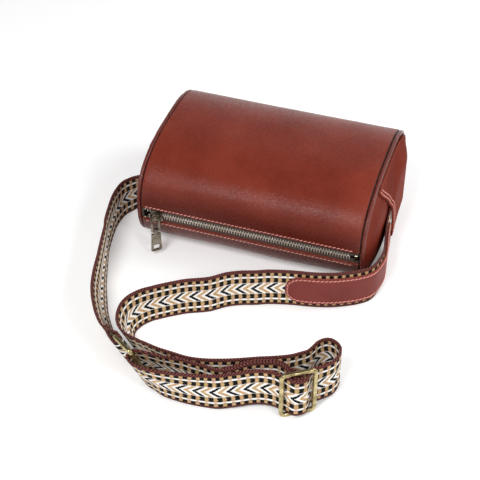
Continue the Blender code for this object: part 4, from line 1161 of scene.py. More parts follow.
def pocket_height(y, z):
    """The strap pocket's inner face: flat on the panel, and lifted where the webbing is."""
    sizes = bpy.context.scene.bag_sizes
    flat = RIM_PLACE + FIT
    lifted = STRAP_AT_END + WEBBING / 2 + FIT
    uneven = sizes.unevenness * 0.7 * abs(noise.noise(Vector((y * 45, z * 45, 2.3))))
    draped = flat + (lifted - flat) * webbing_cover(y, z)
    return max(draped, panel_face(y, z) + FIT) + uneven * (lifted - draped) / (lifted - flat)


def pocket_edge():
    """Points (y, z) of the pocket's free edge, from its top to its bottom."""
    points = [Vector((y * HALF_DEPTH, z * BAG_HEIGHT)) for y, z in POCKET_EDGE_SHARES]
    return smooth_line(points, 12)


def edge_depth(line, z):
    """Where the free edge is at height z."""
    for a, b in zip(line, line[1:]):
        if b.y <= z <= a.y:
            share = (a.y - z) / max(a.y - b.y, MERGE)
            return a.x + (b.x - a.x) * share
    return line[0].x if z > line[0].y else line[-1].x


def pocket_outline():
    """Round the section behind the free edge, and back up along that edge."""
    line = pocket_edge()
    rim = panel_outline(RIM_INSET, step=POCKET_STEP)
    behind = [(y, z) for y, z in rim if y > edge_depth(line, z)]
    inside = [p for p in line if section_share(p.x, p.y, RIM_INSET) < 1.0]
    return behind + [(p.x, p.y) for p in reversed(inside)]


def make_ends():
    rim, board = panel_outline(RIM_INSET), panel_outline(RIM_INSET, STIFFENER_SHARE)
    leather, patch = ("panel", LEATHER), ("panel", POCKET_LEATHER)
    felt = ("felt", STIFFENER)
    sheets = (
        ("panel_skin", rim, SECTION_MIDDLE, panel_height, leather, "end_panel", 26),
        ("stiffener_board", board, SECTION_MIDDLE, board_height, felt, "end_stiffener", 14),
        ("pocket_skin", pocket_outline(), POCKET_MIDDLE, pocket_height, patch, "strap_pocket", 34),
    )
    for side, word in SIDES:
        for name, outline, centre, height, (material, thickness), node, rings in sheets:
            name, nodes = f"{name}_{word}", [f"{node}_{word}"]
            piece = end_sheet(name, side, outline, centre, height, material, nodes, rings)
            thicken(piece, thickness, 1.0)
            if material == "panel":
                ease_edges(piece, thickness / 4)


def make_piping():
    """Leather rolled over a cord, with small gathers where it bends."""
    sizes = bpy.context.scene.bag_sizes
    for side, word in SIDES:
        outline = panel_outline(PIPING_RADIUS, step=PIPING_STEP)
        path = [Vector((side * HALF_LENGTH, y, z)) for y, z in outline]

        def radius(index, angle):
            gather = noise.noise(Vector((index * 0.55, math.sin(angle) * 0.8, side)))
            return PIPING_RADIUS * (0.985 + sizes.piping_gather * gather)

        bm = bmesh.new()
        tube(bm, path, Vector((1, 0, 0)), radius)
        place_mesh(f"piping_cord_{word}", bm, "piping", "bag", [f"piping_{word}"])


# Zip


def parted(x):
    """How far each half of the chain stands off the middle, to the left of the slider."""
    run = (SLIDER_X + MESH_POINT - x) / PARTED_LENGTH
    if run <= 0:
        return 0.0
    return PARTED_HALF * math.sin(math.pi / 2 * min(run, 1.0))


def make_tape(word, up):
    inset = LEATHER + FIT
    reach = CHAIN_END + CHAIN_END_GAP * 0.8
    columns, rows = 96, 8
    bm = bmesh.new()

    def put(vert, column, row):
        x = -reach + 2 * reach * column / columns
        height = TAPE_EDGE + (TAPE_REACH - TAPE_EDGE) * row / rows
        z = ZIP_HEIGHT + up * (height + parted(x) * (1 - row / rows))
        y, _ = section_point(front_angle(z, inset), inset)
        vert.co = (x, y, z)

    mapped_grid(bm, columns, rows, put)
    face_away(bm, Vector((0, 0, MID_HEIGHT)))
    piece = place_mesh(f"tape_weave_{word}", bm, "tape", "bag", [f"zip_tape_{word}"])
    thicken(piece, TAPE_THICKNESS)


def make_teeth(word, up, shift):
    """Cast teeth, each a narrow block with a pinched nose."""
    bm = bmesh.new()
    count = int((2 * CHAIN_END - TOOTH_PITCH) / TOOTH_PITCH)
    length = TOOTH_LEG + TOOTH_NOSE
    for i in range(count):
        x = -CHAIN_END + TOOTH_PITCH * (i + 1 / 4) + shift + TOOTH_THICKNESS / 2
        middle = ZIP_HEIGHT + up * ((TOOTH_LEG - TOOTH_NOSE) / 2 + parted(x))
        place = Matrix.Translation((x, CHAIN_Y, middle))
        size = Matrix.Diagonal((TOOTH_THICKNESS, TOOTH_DEPTH, length, 1.0))
        made = bmesh.ops.create_cube(bm, size=1.0, matrix=place @ size)["verts"]
        for vert in made:
            if (vert.co.z - middle) * up < 0:
                vert.co.y = CHAIN_Y + (vert.co.y - CHAIN_Y) * 0.5
                vert.co.x = x + (vert.co.x - x) * 0.8
    bmesh.ops.bevel(
        bm, geom=bm.edges, offset=TOOTH_BEVEL, segments=1, profile=0.5, affect="EDGES", material=-1
    )
    place_mesh(f"zip_teeth_{word}", bm, "zip", "bag", [f"zip_chain_{word}"], 60)


def make_bead(word, up):
    """The corded edge of the tape that the teeth are cast on."""
    steps = 120
    path = []
    for i in range(steps + 1):
        x = -CHAIN_END + 2 * CHAIN_END * i / steps
        path.append(Vector((x, CHAIN_Y, ZIP_HEIGHT + up * (BEAD_MIDDLE + parted(x)))))
    bm = bmesh.new()
    tube(bm, path, Vector((0, 1, 0)), lambda index, angle: BEAD_RADIUS, 10, closed=False)
    place_mesh(f"zip_bead_{word}", bm, "bead", "bag", [f"zip_chain_{word}"])


def dress_node(name, edge):
    """Keeps a metal node of the zip, with its edges eased and its own finish."""
    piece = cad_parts[name]
    piece.data.materials.clear()
    piece.data.materials.append(MATERIALS["pull"])
    weld = piece.modifiers.new("Joined", "WELD")
    weld.merge_threshold = WELD
    ease_edges(piece, edge)


def make_zip():
    for word, up in (("upper", 1), ("lower", -1)):
        make_tape(word, up)
        make_teeth(word, up, 0.0 if up > 0 else TOOTH_PITCH / 2)
        make_bead(word, up)
    for name in ("zip_top_stop_upper", "zip_top_stop_lower", "zip_bottom_stop"):
        dress_node(name, STOP_EDGE)


def make_pull():
    for name, edge in PULL_EDGES:
        dress_node(name, edge)


# Webbing: every place on it has a centre and the direction of its width


def on_table(x_share, y_share, lean_share, heading):
    """A place where the webbing stands on its edge, leaning to the left of its heading."""
    lean = LEAN_MAX * lean_share
    left = Vector((-heading.y, heading.x, 0)).normalized()
    rise = math.sqrt(WEBBING_WIDTH**2 - lean**2)
    up = (left * lean + Vector((0, 0, rise))).normalized()
    z = WEBBING_WIDTH / 2 * up.z + WEBBING / 2 * math.sqrt(1 - up.z**2)
    return Vector((x_share * HALF_LENGTH, FRONT - y_share * LAY_DEPTH, z)), up


def eased(share):
    """Goes smoothly from one at zero to zero at one."""
    return (1 + math.cos(math.pi * min(max(share, 0.0), 1.0))) / 2


def table_run(shares, lean_sign, first_lift=0.0, last_lift=0.0):
    """Places of a run on the table, from a table of shares; its ends may be lifted to a buckle."""
    flat = [Vector((x * HALF_LENGTH, -y * LAY_DEPTH, 0)) for x, y, _ in shares]
    lengths = distances(flat)
    places = []
    for i, (x, y, lean) in enumerate(shares):
        spot, up = on_table(x, y, lean * lean_sign, run_at(flat, i))
        lift = first_lift * eased(lengths[i] / LIFT_REACH)
        lift += last_lift * eased((lengths[-1] - lengths[i]) / LIFT_REACH)
        places.append((spot + Vector((0, 0, lift)), up))
    return places


def beside_end(side, shares, flare):
    """Places beside the end of the bag, from the sewn end in the pocket down to the table."""
    table = WEBBING_WIDTH / 2
    spots = []
    for depth, out, drop in shares:
        x = side * (STRAP_AT_END + flare * out)
        z = table + (ANCHOR_HEIGHT - table) * drop
        spots.append(Vector((x, depth * HALF_DEPTH, z)))
    places = []
    for i, spot in enumerate(spots):
        heading = run_at(spots, i).normalized()
        up = Vector((0, -heading.z, heading.y)).normalized()
        up *= math.copysign(1, up.z)
        lift = max(WEBBING_WIDTH / 2 * up.z - spot.z, 0.0)
        places.append((spot + Vector((0, 0, lift)), up))
    return places


class Stand:
    """Axes of a buckle that stands on the table: along, out (towards the viewer) and up."""

    def __init__(self, place_shares, turn_degrees, lean_degrees, half_height):
        turn, lean = math.radians(turn_degrees), math.radians(lean_degrees)
        self.along = Vector((math.cos(turn), math.sin(turn), 0))
        flat_out = Vector((math.sin(turn), -math.cos(turn), 0))
        self.up = flat_out * math.sin(lean) + Vector((0, 0, math.cos(lean)))
        self.out = flat_out * math.cos(lean) - Vector((0, 0, math.sin(lean)))
        x, y = place_shares
        self.middle = Vector((x * HALF_LENGTH, FRONT - y * LAY_DEPTH, half_height))

    def at(self, along, out=0.0, up=0.0):
        return self.middle + self.along * along + self.out * out + self.up * up


def ring_stand():
    lean = math.radians(RING_LEAN_DEGREES)
    half = (RING_HEIGHT / 2 - RING_WIRE_RADIUS) * math.cos(lean) + RING_WIRE_RADIUS + FIT
    return Stand(RING_PLACE_SHARES, RING_TURN_DEGREES, RING_LEAN_DEGREES, half)


def glide_stand():
    return Stand(GLIDE_PLACE_SHARES, GLIDE_TURN_DEGREES, 0.0, GLIDE_HEIGHT / 2)


def in_stand(stand, spots):
    """Places given in a buckle's own axes as (along, out)."""
    return [(stand.at(along, out), stand.up) for along, out in spots]


def arc_spots(centre, radii, start_degrees, end_degrees, steps):
    """Points (along, out) on an oval arc."""
    spots = []
    for i in range(steps + 1):
        angle = math.radians(start_degrees + (end_degrees - start_degrees) * i / steps)
        along = centre[0] + radii[0] * math.cos(angle)
        spots.append((along, centre[1] + radii[1] * math.sin(angle)))
    return spots


def kept_up(spot, up):
    """Lifts a place so that the webbing's lower edge isn't under the table."""
    low = spot.z - WEBBING_WIDTH / 2 * up.z - WEBBING / 2 * math.sqrt(max(1 - up.z**2, 0.0))
    return spot + Vector((0, 0, max(-low, 0.0)))


def centres_of(places):
    return [place[0] for place in places]


def smooth_places(places, step):
    """Places read at even steps from a smooth curve through the places given."""
    centres = centres_of(places)
    ups = [u for _, u in places]
    made = []
    for i in range(len(centres) - 1):
        count = max(1, math.ceil((centres[i + 1] - centres[i]).length / step))
        for share, spot in curve_part(centres, i, count):
            up = ups[i].lerp(ups[i + 1], share).normalized()
            made.append((kept_up(spot, up), up))
    made.append((kept_up(centres[-1], ups[-1]), ups[-1]))
    return made


def square_up(places):
    """Turns each width direction square to the run, and gives (centre, width, through) triples."""
    made, centres = [], centres_of(places)
    for i, (spot, up) in enumerate(places):
        run = run_at(centres, i).normalized()
        width = (up - run * up.dot(run)).normalized()
        made.append((spot, width, run.cross(width)))
    return made


def folded_tail(places, length, spread):
    """Places of a sewn end: back along the band's own last stretch, on its rear side."""
    stations = square_up(places)
    close = WEBBING + PLY_GAP
    made, run = [], 0.0
    for i in range(len(stations) - 2, 0, -1):
        spot, width, through = stations[i]
        run += (stations[i + 1][0] - spot).length
        if run > length:
            break
        part = eased((run - FOLD_SPREAD_START) / (FOLD_SPREAD_END - FOLD_SPREAD_START))
        made.append((spot - through * (close + (spread - close) * part), width))
    return made


def short_strap_stations():
    """From the left pocket to the ring: round the ring's near bar and back along itself."""
    stand = ring_stand()
    bar = -(RING_WIDTH / 2 - RING_WIRE_RADIUS)
    radius = RING_WIRE_RADIUS + LOOP_FIT + WEBBING / 2
    lead = [(bar + along * radius, out * radius) for along, out in SHORT_LEAD_SHARES]
    beside = beside_end(-1, LEFT_BESIDE_SHARES, LEFT_FLARE)
    run = table_run(SHORT_RUN_SHARES, -1, last_lift=RING_LIFT_SHORT)
    approach = smooth_places(beside + run + in_stand(stand, lead), STATION_STEP)
    turn = in_stand(stand, arc_spots((bar, 0.0), (radius, radius), 90, -90, 14)[1:])
    tail = folded_tail(approach, SHORT_TAIL, 2 * radius)
    return square_up(approach + turn + tail), len(approach)


def ring_loop_spots():
    """The long strap's loose loop round the ring's far bar."""
    far_bar = RING_WIDTH / 2 - RING_WIRE_RADIUS
    middle = (far_bar + PLY_GAP, RING_LOOP_ROOM - RING_LOOP_HALF)
    radii = (RING_LOOP_HALF * LOOP_ROUND_SHARE, RING_LOOP_HALF)
    lead = [(middle[0] + RING_LOOP_HALF, RING_LOOP_ROOM)]
    reach, depth = LOOP_LEAVE_SHARES
    leave = [(middle[0] + RING_LOOP_HALF * reach, (middle[1] - RING_LOOP_HALF) * depth)]
    return lead + arc_spots(middle, radii, 90, 260, 8) + leave


def hump_spots():
    """The running webbing at the tri-glide: behind, over the folded end, and behind again."""
    bar = GLIDE_WIDTH / 2 - GLIDE_BAR_RADIUS
    behind = GLIDE_BAR_RADIUS + GLIDE_PLAY + WEBBING / 2
    over = GLIDE_BAR_RADIUS + FIT + WEBBING + FIT + WEBBING / 2
    half = [(bar * u, v * (over if v > 0 else behind)) for u, v in HUMP_SHARES]
    return half + [(-u, v) for u, v in half[-2:0:-1]]


def long_strap_stations():
    """From the right pocket round to the tri-glide, to the ring and back to the centre bar."""
    ring, glide = ring_stand(), glide_stand()
    bar = GLIDE_WIDTH / 2 - GLIDE_BAR_RADIUS
    radius = GLIDE_BAR_RADIUS + FIT + WEBBING / 2
    lead = [(bar * u, bar * v) for u, v in FOLD_LEAD_SHARES]
    arc = arc_spots((0.0, 0.0), (radius, radius), 160, -30, 14)
    places = beside_end(1, RIGHT_BESIDE_SHARES, RIGHT_FLARE)
    places += table_run(BACK_RUN_SHARES, -1, last_lift=GLIDE_LIFT)
    places += in_stand(glide, hump_spots())
    places += table_run(FRONT_RUN_SHARES, 1, GLIDE_LIFT, RING_LIFT_FRONT)
    places += in_stand(ring, ring_loop_spots())
    places += table_run(MIDDLE_RUN_SHARES, -1, RING_LIFT_REAR, GLIDE_LIFT)
    places += in_stand(glide, lead + arc[:1])
    wound = smooth_places(places, STATION_STEP)
    turned = wound + in_stand(glide, arc[1:])
    return square_up(turned + folded_tail(wound, FOLD_TAIL, 2 * radius)), len(wound)


def band_section(thickness):
    """Points round a band's section: share of its width, reach past the flat part, and through."""
    half = thickness / 2
    faces = 10
    top = [(-1 + 2 * k / faces, 0.0, half) for k in range(faces + 1)]
    turn = [math.radians(a) for a in (60, 30, 0, -30, -60)]
    right = [(1.0, half * math.cos(a), half * math.sin(a)) for a in turn]
    bottom = [(-s, 0.0, -half) for s, _, _ in top]
    left = [(-1.0, -reach, -through) for _, reach, through in right]
    return top + right + bottom + left


def ribbon(bm, stations, halves, thickness, shift):
    """A band with rounded edges through its stations; its UV map is in metres."""
    section = band_section(thickness)
    around = len(section)
    across, along = float_layers(bm, "across", "along")
    runs = distances(centres_of(stations))

    def put(vert, column, row):
        spot, width, through = stations[column]
        share, reach, depth = section[row % around]
        side = share * (halves[column] - thickness / 2) + reach
        vert.co = spot + width * side + through * (depth + shift)
        vert[across] = side
        vert[along] = runs[column]

    mapped_grid(bm, len(stations) - 1, around, put)
    bmesh.ops.remove_doubles(bm, verts=bm.verts, dist=MERGE)
    close_ends(bm)
    weave = bm.loops.layers.uv.new("weave")
    for face in bm.faces:
        for loop in face.loops:
            loop[weave].uv = (loop.vert[across], loop.vert[along])


def make_straps():
    for name, (stations, _), node in (
        ("webbing_short", short_strap_stations(), "short_strap"),
        ("webbing_long", long_strap_stations(), "long_strap"),
    ):
        bm = bmesh.new()
        ribbon(bm, stations, [WEBBING_WIDTH / 2] * len(stations), WEBBING, 0.0)
        piece = place_mesh(name, bm, "webbing", "bag", [node])
        length = distances(centres_of(stations))[-1]


def tab_stations():
    """The stations under the leather tab, and half its width at each."""
    stations, _ = long_strap_stations()
    picked, halves = [], []
    end = TAB_PATCH_START + TAB_PATCH_LENGTH
    radius = TAB_PATCH_WIDTH / 2
    for station, run in zip(stations, distances(centres_of(stations))):
        if TAB_PATCH_START <= run <= end:
            short_of = min((end - run) / radius, 1.0)
            halves.append(radius * math.sqrt(max(1 - (1 - short_of) ** 2, 0.03)))
            picked.append(station)
    return picked, halves


def make_strap_tab():
    picked, halves = tab_stations()
    bm = bmesh.new()
    ribbon(bm, picked, halves, TAB_PATCH, -(WEBBING + TAB_PATCH) / 2 - FIT)
    (rub,) = float_layers(bm, "rub")
    across = bm.verts.layers.float["across"]
    half = TAB_PATCH_WIDTH / 2
    for vert in bm.verts:
        vert[rub] = ramp(abs(vert[across]), half - RUB_REACH_TAB, half) * 0.5
    place_mesh("tab_leather_patch", bm, "tab", "bag", ["strap_tab"])


# Buckles


def buckle_path(stand, width, height, bar, corner):
    outline = rounded_rectangle(width / 2 - bar, height / 2 - bar, corner, 8)
    return [stand.at(along, 0.0, up) for along, up in thinned(outline)]


def each_side(reach, count):
    """Even places from -reach to reach, with a count of them on each side of the middle."""
    return [reach * (i / count - 1) for i in range(2 * count + 1)]


def thinned(outline):
    """Leaves out points that stand on the one before them."""
    kept = []
    for point in outline:
        if not kept or (Vector(point) - Vector(kept[-1])).length > MERGE:
            kept.append(point)
    return kept


def make_wire(name, path, out, radius, body, node, closed=True):
    bm = bmesh.new()
    tube(bm, path, out, lambda index, angle: radius, 20, closed)
    place_mesh(name, bm, "brass", body, [node])


def make_buckles():
    ring, glide = ring_stand(), glide_stand()
    path = buckle_path(ring, RING_WIDTH, RING_HEIGHT, RING_WIRE_RADIUS, RING_CORNER)
    make_wire("ring_wire", path, ring.out, RING_WIRE_RADIUS, "ring", "strap_ring")
    path = buckle_path(glide, GLIDE_WIDTH, GLIDE_HEIGHT, GLIDE_BAR_RADIUS, GLIDE_CORNER)
    piece = ("triglide", "triglide_frame")
    make_wire("triglide_wire", path, glide.out, GLIDE_BAR_RADIUS, *piece)
    reach = GLIDE_HEIGHT / 2 - GLIDE_BAR_RADIUS
    path = [glide.at(0.0, 0.0, up) for up in each_side(reach, 6)]
    radius = GLIDE_BAR_RADIUS * 0.97
    make_wire("triglide_centre_bar", path, glide.out, radius, *piece, closed=False)


# Stitching: a path is a list of points with the direction out of the cloth


def sew(bm, path, pitch, radius, slant=0.36):
    """Thread stitches along a path, each a short rounded length of thread."""
    runs = distances(centres_of(path))

    def at(distance):
        for i in range(len(path) - 1):
            if runs[i + 1] >= distance:
                share = (distance - runs[i]) / max(runs[i + 1] - runs[i], MERGE)
                return path[i][0].lerp(path[i + 1][0], share), path[i][1]
        return path[-1]

    count = int(runs[-1] / pitch)
    for i in range(count):
        start, out = at(i * pitch)
        end, _ = at((i + 1.0) * pitch)
        run = end - start
        side = out.cross(run).normalized()
        line = (run.normalized() + side * slant).normalized()
        side = out.cross(line).normalized()
        half = run.length / 2
        turn = Matrix((side * radius, line.cross(side) * radius * 0.8, line * half)).transposed()
        place = Matrix.Translation((start + end) / 2 + out * radius * 0.25) @ turn.to_4x4()
        bmesh.ops.create_uvsphere(bm, u_segments=6, v_segments=5, radius=1.0, matrix=place)


def place_stitches(name, paths):
    sizes = bpy.context.scene.bag_sizes
    bm = bmesh.new()
    for path in paths:
        sew(bm, path, sizes.stitch_pitch, sizes.thread_radius)
    place_mesh(name, bm, "thread", "bag", (), 180)


def zip_stitch_path(up):
    """Along the wrap's turned edge, beside the slot."""
    slot = front_angle(ZIP_HEIGHT + up * ZIP_SLOT_HALF)
    section = fine_section(0.0, slot, slot + up * 0.5)
    angle = angle_at(section, ZIP_STITCH_INSET)
    points = []
    for x in each_side(WRAP_END - ZIP_STITCH_END, 60):
        lift = outer_shape(x, angle, ZIP_STITCH_INSET, WRAP_END - abs(x))
        y, z = section_normal(angle, 0.0)
        points.append((shell_spot(x, angle, 0.0, lift), Vector((0, y, z))))
    return points


def pocket_stitch_path(side, inset):
    """Beside the pocket's free edge, on its outer face."""
    line = pocket_edge()
    points = []
    for a, b in zip(line, line[1:]):
        run = (b - a).normalized()
        spot = a + Vector((-run.y, run.x)) * inset
        if section_share(spot.x, spot.y, RIM_INSET) < 0.96:
            x = side * (pocket_height(spot.x, spot.y) + POCKET_LEATHER)
            points.append((Vector((x, spot.x, spot.y)), Vector((side, 0, 0))))
    return points


def tab_stitch_paths():
    """A border of stitches round the leather tab."""
    picked, halves = tab_stations()
    depth = -(WEBBING / 2 + FIT + TAB_PATCH)
    radius = TAB_PATCH_WIDTH / 2
    keep = len(picked) - max(1, round(TAB_STITCH_MARGIN / STATION_STEP))
    rows = []
    for sign in (1, -1):
        row = []
        for (spot, width, through), half in list(zip(picked, halves))[:keep]:
            side = sign * max(min(half, radius) - TAB_STITCH_MARGIN, 0.0)
            row.append((spot + width * side + through * depth, -through))
        rows.append(row)
    return [rows[0] + rows[1][::-1]]


def strap_end_paths():
    """Rows of stitches across the folded ends of the webbing."""
    rows = []
    for (stations, turn), distances in (
        (short_strap_stations(), SHORT_END_STITCHES),
        (long_strap_stations(), LONG_END_STITCHES),
    ):
        for distance in distances:
            spot, width, through = stations[turn - round(distance / STATION_STEP)]
            row = []
            for side in each_side(WEBBING_WIDTH / 2 - END_STITCH_MARGIN, 10):
                row.append((spot + width * side + through * (WEBBING / 2), through.copy()))
            rows.append(row)
    return rows


def make_stitching():
    place_stitches("stitches_zip", [zip_stitch_path(1), zip_stitch_path(-1)])
    for side, word in SIDES:
        paths = [pocket_stitch_path(side, inset) for inset in POCKET_STITCH_INSETS]
        place_stitches(f"stitches_pocket_{word}", paths)
    place_stitches("stitches_tab", tab_stitch_paths())
    place_stitches("stitches_strap_ends", strap_end_paths())


# Stage


def looking(place, target):
    """The matrix of a lamp or camera that looks from a place at a target."""
    turn = (Vector(target) - Vector(place)).to_track_quat("-Z", "Y")
    return Matrix.Translation(place) @ turn.to_matrix().to_4x4()


def area_light(name, place, target, size, power):
    lamp = bpy.data.lights.new(name, "AREA")
    lamp.shape = "DISK"
    lamp.size = size
    lamp.energy = power
    new_object(name, lamp).matrix_world = looking(place, target)


def make_floor(glow):
    """Pale paper that shows a little lighter to the camera and in reflections."""
    bm = bmesh.new()
    bmesh.ops.create_grid(bm, x_segments=1, y_segments=1, size=3.0)
    mesh = bpy.data.meshes.new("floor")
    bm.to_mesh(mesh)
    bm.free()
    material, wires, shader = new_material("floor paper")
    fibres = wires.noise(wires.place(), 400.0, 2.0)
    shade = wires.colour_mix(fibres, (0.86, 0.86, 0.86, 1.0), (0.90, 0.90, 0.90, 1.0))
    path = wires.add("ShaderNodeLightPath")
    seen = wires.maths("MAXIMUM", path.outputs["Is Camera Ray"], path.outputs["Is Glossy Ray"])
    wires.fill(shader, {
        "Base Color": shade,
        "Roughness": 0.9,
        "Specular IOR Level": 0.1,
        "Emission Color": WHITE,
        "Emission Strength": wires.times(seen, glow),
    })
    mesh.materials.append(material)
    new_object("floor", mesh)


def make_world(strength, ceiling):
    """White to the camera; in reflections white at the horizon and darker towards the ceiling."""
    world = bpy.data.worlds.new("studio")
    bpy.context.scene.world = world
    world.use_nodes = True
    wires = Wires(world.node_tree)
    background = world.node_tree.nodes["Background"]
    background.inputs["Color"].default_value = WHITE
    path = wires.add("ShaderNodeLightPath")
    parts = wires.parts(wires.add("ShaderNodeTexCoord").outputs["Generated"])
    room = wires.spread(parts["Z"], *CEILING_RISE, 1.0, ceiling)
    lit = wires.spread(path.outputs["Is Glossy Ray"], 0.0, 1.0, strength, room)
    seen = wires.spread(path.outputs["Is Camera Ray"], 0.0, 1.0, lit, 1.0)
    wires.feed(background.inputs["Strength"], seen)


def make_camera():
    lens = bpy.data.cameras.new("photo camera")
    lens.lens = CAMERA_LENS
    lens.sensor_width = SENSOR_WIDTH
    camera = new_object("photo camera", lens)
    camera.matrix_world = looking(CAMERA_PLACE, CAMERA_TARGET)
    bpy.context.scene.camera = camera


def make_stage():
    lights = bpy.context.scene.bag_lights
    bpy.context.scene.view_settings.view_transform = "Standard"
    make_camera()
    make_floor(lights.floor)
    make_world(lights.sky, lights.ceiling)
    for *shape, setting in LAMPS:
        area_light(*shape, getattr(lights, setting))


# Settings, operators and panel


def number(name, description, value, **kind):
    return FloatProperty(name=name, description=description, default=value, **kind)


def metres(name, description, value):
    return number(name, description, value, unit="LENGTH")


def watts(name, description, value):
    return number(name, description, value, unit="POWER")


class BagSizes(bpy.types.PropertyGroup):
    """Sizes of the soft detail."""

    top_sag: metres("Top sag", "How far the top sinks", 0.0011)
    front_swell: metres("Front fullness", "How far the front fills out", 0.0009)
    unevenness: metres("Unevenness", "Depth of soft hollows", 0.0009)
    seam_pucker: metres("Seam pucker", "Depth of gathers at seams", 0.00035)
    seam_roll: metres("Seam roll", "Radius where the wrap meets its seam", 0.0009)
    seam_fall: metres("Seam fall", "How far the front dips to its seams", 0.0010)
    turned_edge: metres("Turned edge", "Radius of the edge at the zip", 0.0006)
    hem_rise: metres("Hem rise", "Extra thickness of the turned edge", 0.00035)
    piping_gather: number("Piping gather", "Share of the piping's radius", 0.10, subtype="FACTOR")
    stitch_pitch: metres("Stitch pitch", "From one stitch to the next", 0.0034)
    thread_radius: metres("Thread radius", "Half the thread's thickness", 0.00056)


def dye(name, description, value):
    return FloatVectorProperty(
        name=name,
        description=description,
        default=value,
        size=3,
        min=0.0,
        max=1.0,
        subtype="COLOR",
    )


class BagColours(bpy.types.PropertyGroup):
    """Colours of the bag."""

    leather_dark: dye("Leather, dark", "Dye where it is deepest", (0.145, 0.019, 0.010))
    leather_middle: dye("Leather", "Dye over most of the bag", (0.205, 0.031, 0.016))
    leather_pale: dye("Leather, worn", "Where edges are rubbed", (0.30, 0.070, 0.042))
    piping_dark: dye("Piping", "Leather over the cord", (0.11, 0.016, 0.010))
    tab_dark: dye("Tab, dark", "Deep tone of the strap tab", (0.165, 0.032, 0.026))
    tab_middle: dye("Tab", "Tone of the strap tab", (0.225, 0.046, 0.037))
    thread: dye("Thread", "Stitching thread", (0.80, 0.36, 0.30))
    thread_shade: dye("Thread, shaded", "Between its strands", (0.60, 0.21, 0.17))
    webbing_border: dye("Webbing border", "Woven border", (0.20, 0.060, 0.052))
    webbing_black: dye("Webbing black", "Darkest thread", (0.007, 0.006, 0.006))
    webbing_tan: dye("Webbing tan", "Golden tan thread", (0.57, 0.39, 0.165))
    webbing_orange: dye("Webbing peach", "Pinkish peach thread", (0.82, 0.48, 0.34))
    webbing_white: dye("Webbing white", "White thread", (1.0, 0.97, 0.94))
    tape: dye("Zip tape", "Woven tape", (0.085, 0.042, 0.032))
    tape_shade: dye("Zip tape, shaded", "Between its threads", (0.07, 0.034, 0.024))
    bead: dye("Zip bead", "Corded edge of the tape", (0.035, 0.020, 0.015))
    zip_metal: dye("Zip metal", "Bright parts of the teeth", (0.96, 0.88, 0.77))
    zip_stain: dye("Zip stain", "Stained parts", (0.74, 0.65, 0.54))
    pull_metal: dye("Pull metal", "Slider and pull", (0.27, 0.235, 0.185))
    pull_stain: dye("Pull stain", "Stained parts of the pull", (0.14, 0.115, 0.085))
    brass: dye("Brass", "Bright parts of the buckles", (0.60, 0.50, 0.26))
    brass_stain: dye("Brass stain", "Stained parts of the buckles", (0.30, 0.235, 0.115))
    lining: dye("Lining", "Cotton lining", (0.22, 0.165, 0.12))
    lining_shade: dye("Lining, shaded", "Between its threads", (0.12, 0.085, 0.06))
    felt: dye("Felt", "Backing felt", (0.46, 0.41, 0.34))
    felt_shade: dye("Felt, shaded", "Between its fibres", (0.30, 0.26, 0.21))


class BagLights(bpy.types.PropertyGroup):
    """Light on the stage."""

    sky: number("Sky", "Light from all round", 0.42)
    ceiling: number("Ceiling", "Reflected from above", 0.10)
    floor: number("Floor glow", "Lifts the floor to white", 0.22)
    front: watts("Front", "Softbox in front", 9.8)
    back: watts("Back", "Softbox behind", 2.8)
    rim: watts("Rim", "Low strip behind", 0.6)
    side: watts("Side", "Strip at the right", 2.9)


class BagStep:
    """What every operator does: runs the function that makes its pieces."""

    def execute(self, context):
        self.make()
        return {"FINISHED"}


class BAG_OT_stage(BagStep, bpy.types.Operator):
    """Sets the camera, the floor and the studio light."""

    bl_idname = "pillow_bag.stage"
    bl_label = "Stage"
    make = staticmethod(make_stage)


class BAG_OT_finishes(BagStep, bpy.types.Operator):
    """Makes the leather, cloth, thread and metal materials."""

    bl_idname = "pillow_bag.finishes"
    bl_label = "Finishes"
    make = staticmethod(make_finishes)


class BAG_OT_wrap(BagStep, bpy.types.Operator):
    """Makes the soft leather wrap."""

    bl_idname = "pillow_bag.wrap"
    bl_label = "Leather wrap"
    make = staticmethod(make_wrap)


class BAG_OT_inside(BagStep, bpy.types.Operator):
    """Makes the backing, the lining and the slip pocket."""

    bl_idname = "pillow_bag.inside"
    bl_label = "Inside"
    make = staticmethod(make_inside)


class BAG_OT_ends(BagStep, bpy.types.Operator):
    """Makes the end panels, their boards and the strap pockets."""

    bl_idname = "pillow_bag.ends"
    bl_label = "Ends and strap pockets"
    make = staticmethod(make_ends)


class BAG_OT_piping(BagStep, bpy.types.Operator):
    """Makes the piping round both ends."""

    bl_idname = "pillow_bag.piping"
    bl_label = "Piping"
    make = staticmethod(make_piping)


class BAG_OT_zip(BagStep, bpy.types.Operator):
    """Makes the zip's tapes and teeth and finishes its stops."""

    bl_idname = "pillow_bag.zip"
    bl_label = "Zip"
    make = staticmethod(make_zip)


class BAG_OT_pull(BagStep, bpy.types.Operator):
    """Finishes the slider, its crown, the link and the pull tab."""

    bl_idname = "pillow_bag.pull"
    bl_label = "Slider and pull"
    make = staticmethod(make_pull)


class BAG_OT_straps(BagStep, bpy.types.Operator):
    """Makes the two lengths of woven webbing."""

    bl_idname = "pillow_bag.straps"
    bl_label = "Webbing"
    make = staticmethod(make_straps)


class BAG_OT_strap_tab(BagStep, bpy.types.Operator):
    """Makes the leather tab on the long strap."""

    bl_idname = "pillow_bag.strap_tab"
    bl_label = "Strap tab"
    make = staticmethod(make_strap_tab)


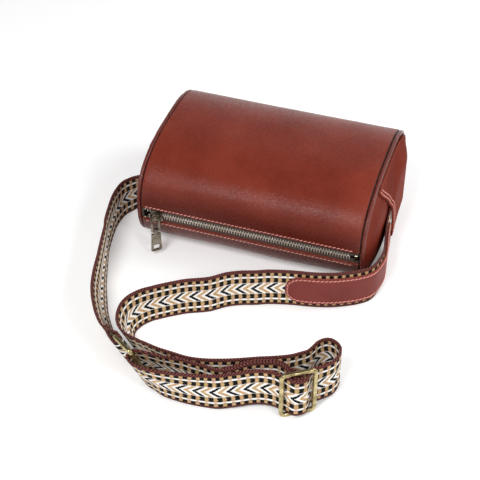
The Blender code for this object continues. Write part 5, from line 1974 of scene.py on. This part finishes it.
class BAG_OT_buckles(BagStep, bpy.types.Operator):
    """Makes the strap ring and the tri-glide."""

    bl_idname = "pillow_bag.buckles"
    bl_label = "Ring and tri-glide"
    make = staticmethod(make_buckles)


class BAG_OT_stitching(BagStep, bpy.types.Operator):
    """Sews the zip, the pockets, the tab and the webbing's ends."""

    bl_idname = "pillow_bag.stitching"
    bl_label = "Stitching"
    make = staticmethod(make_stitching)


OPERATORS = (
    BAG_OT_stage,
    BAG_OT_finishes,
    BAG_OT_wrap,
    BAG_OT_inside,
    BAG_OT_ends,
    BAG_OT_piping,
    BAG_OT_zip,
    BAG_OT_pull,
    BAG_OT_straps,
    BAG_OT_strap_tab,
    BAG_OT_buckles,
    BAG_OT_stitching,
)


class BAG_PT_panel(bpy.types.Panel):
    """Lists the steps that make the bag."""

    bl_idname = "BAG_PT_panel"
    bl_label = "Pillow Bag"
    bl_space_type = "VIEW_3D"
    bl_region_type = "UI"
    bl_category = "Pillow Bag"

    def draw(self, context):
        for step in OPERATORS:
            self.layout.operator(step.bl_idname, text=step.bl_label)


SETTINGS = (("bag_sizes", BagSizes), ("bag_colours", BagColours), ("bag_lights", BagLights))


def register():
    for name, group in SETTINGS:
        bpy.utils.register_class(group)
        setattr(bpy.types.Scene, name, PointerProperty(type=group))
    for step in OPERATORS:
        bpy.utils.register_class(step)
    bpy.utils.register_class(BAG_PT_panel)


def unregister():
    bpy.utils.unregister_class(BAG_PT_panel)
    for step in reversed(OPERATORS):
        bpy.utils.unregister_class(step)
    for name, group in reversed(SETTINGS):
        delattr(bpy.types.Scene, name)
        bpy.utils.unregister_class(group)


def main():
    register()
    bpy.ops.pillow_bag.stage()
    bpy.ops.pillow_bag.finishes()
    bpy.ops.pillow_bag.wrap()
    bpy.ops.pillow_bag.inside()
    bpy.ops.pillow_bag.ends()
    bpy.ops.pillow_bag.piping()
    bpy.ops.pillow_bag.zip()
    bpy.ops.pillow_bag.pull()
    bpy.ops.pillow_bag.straps()
    bpy.ops.pillow_bag.strap_tab()
    bpy.ops.pillow_bag.buckles()
    bpy.ops.pillow_bag.stitching()


if __name__ == "__main__":
    main()
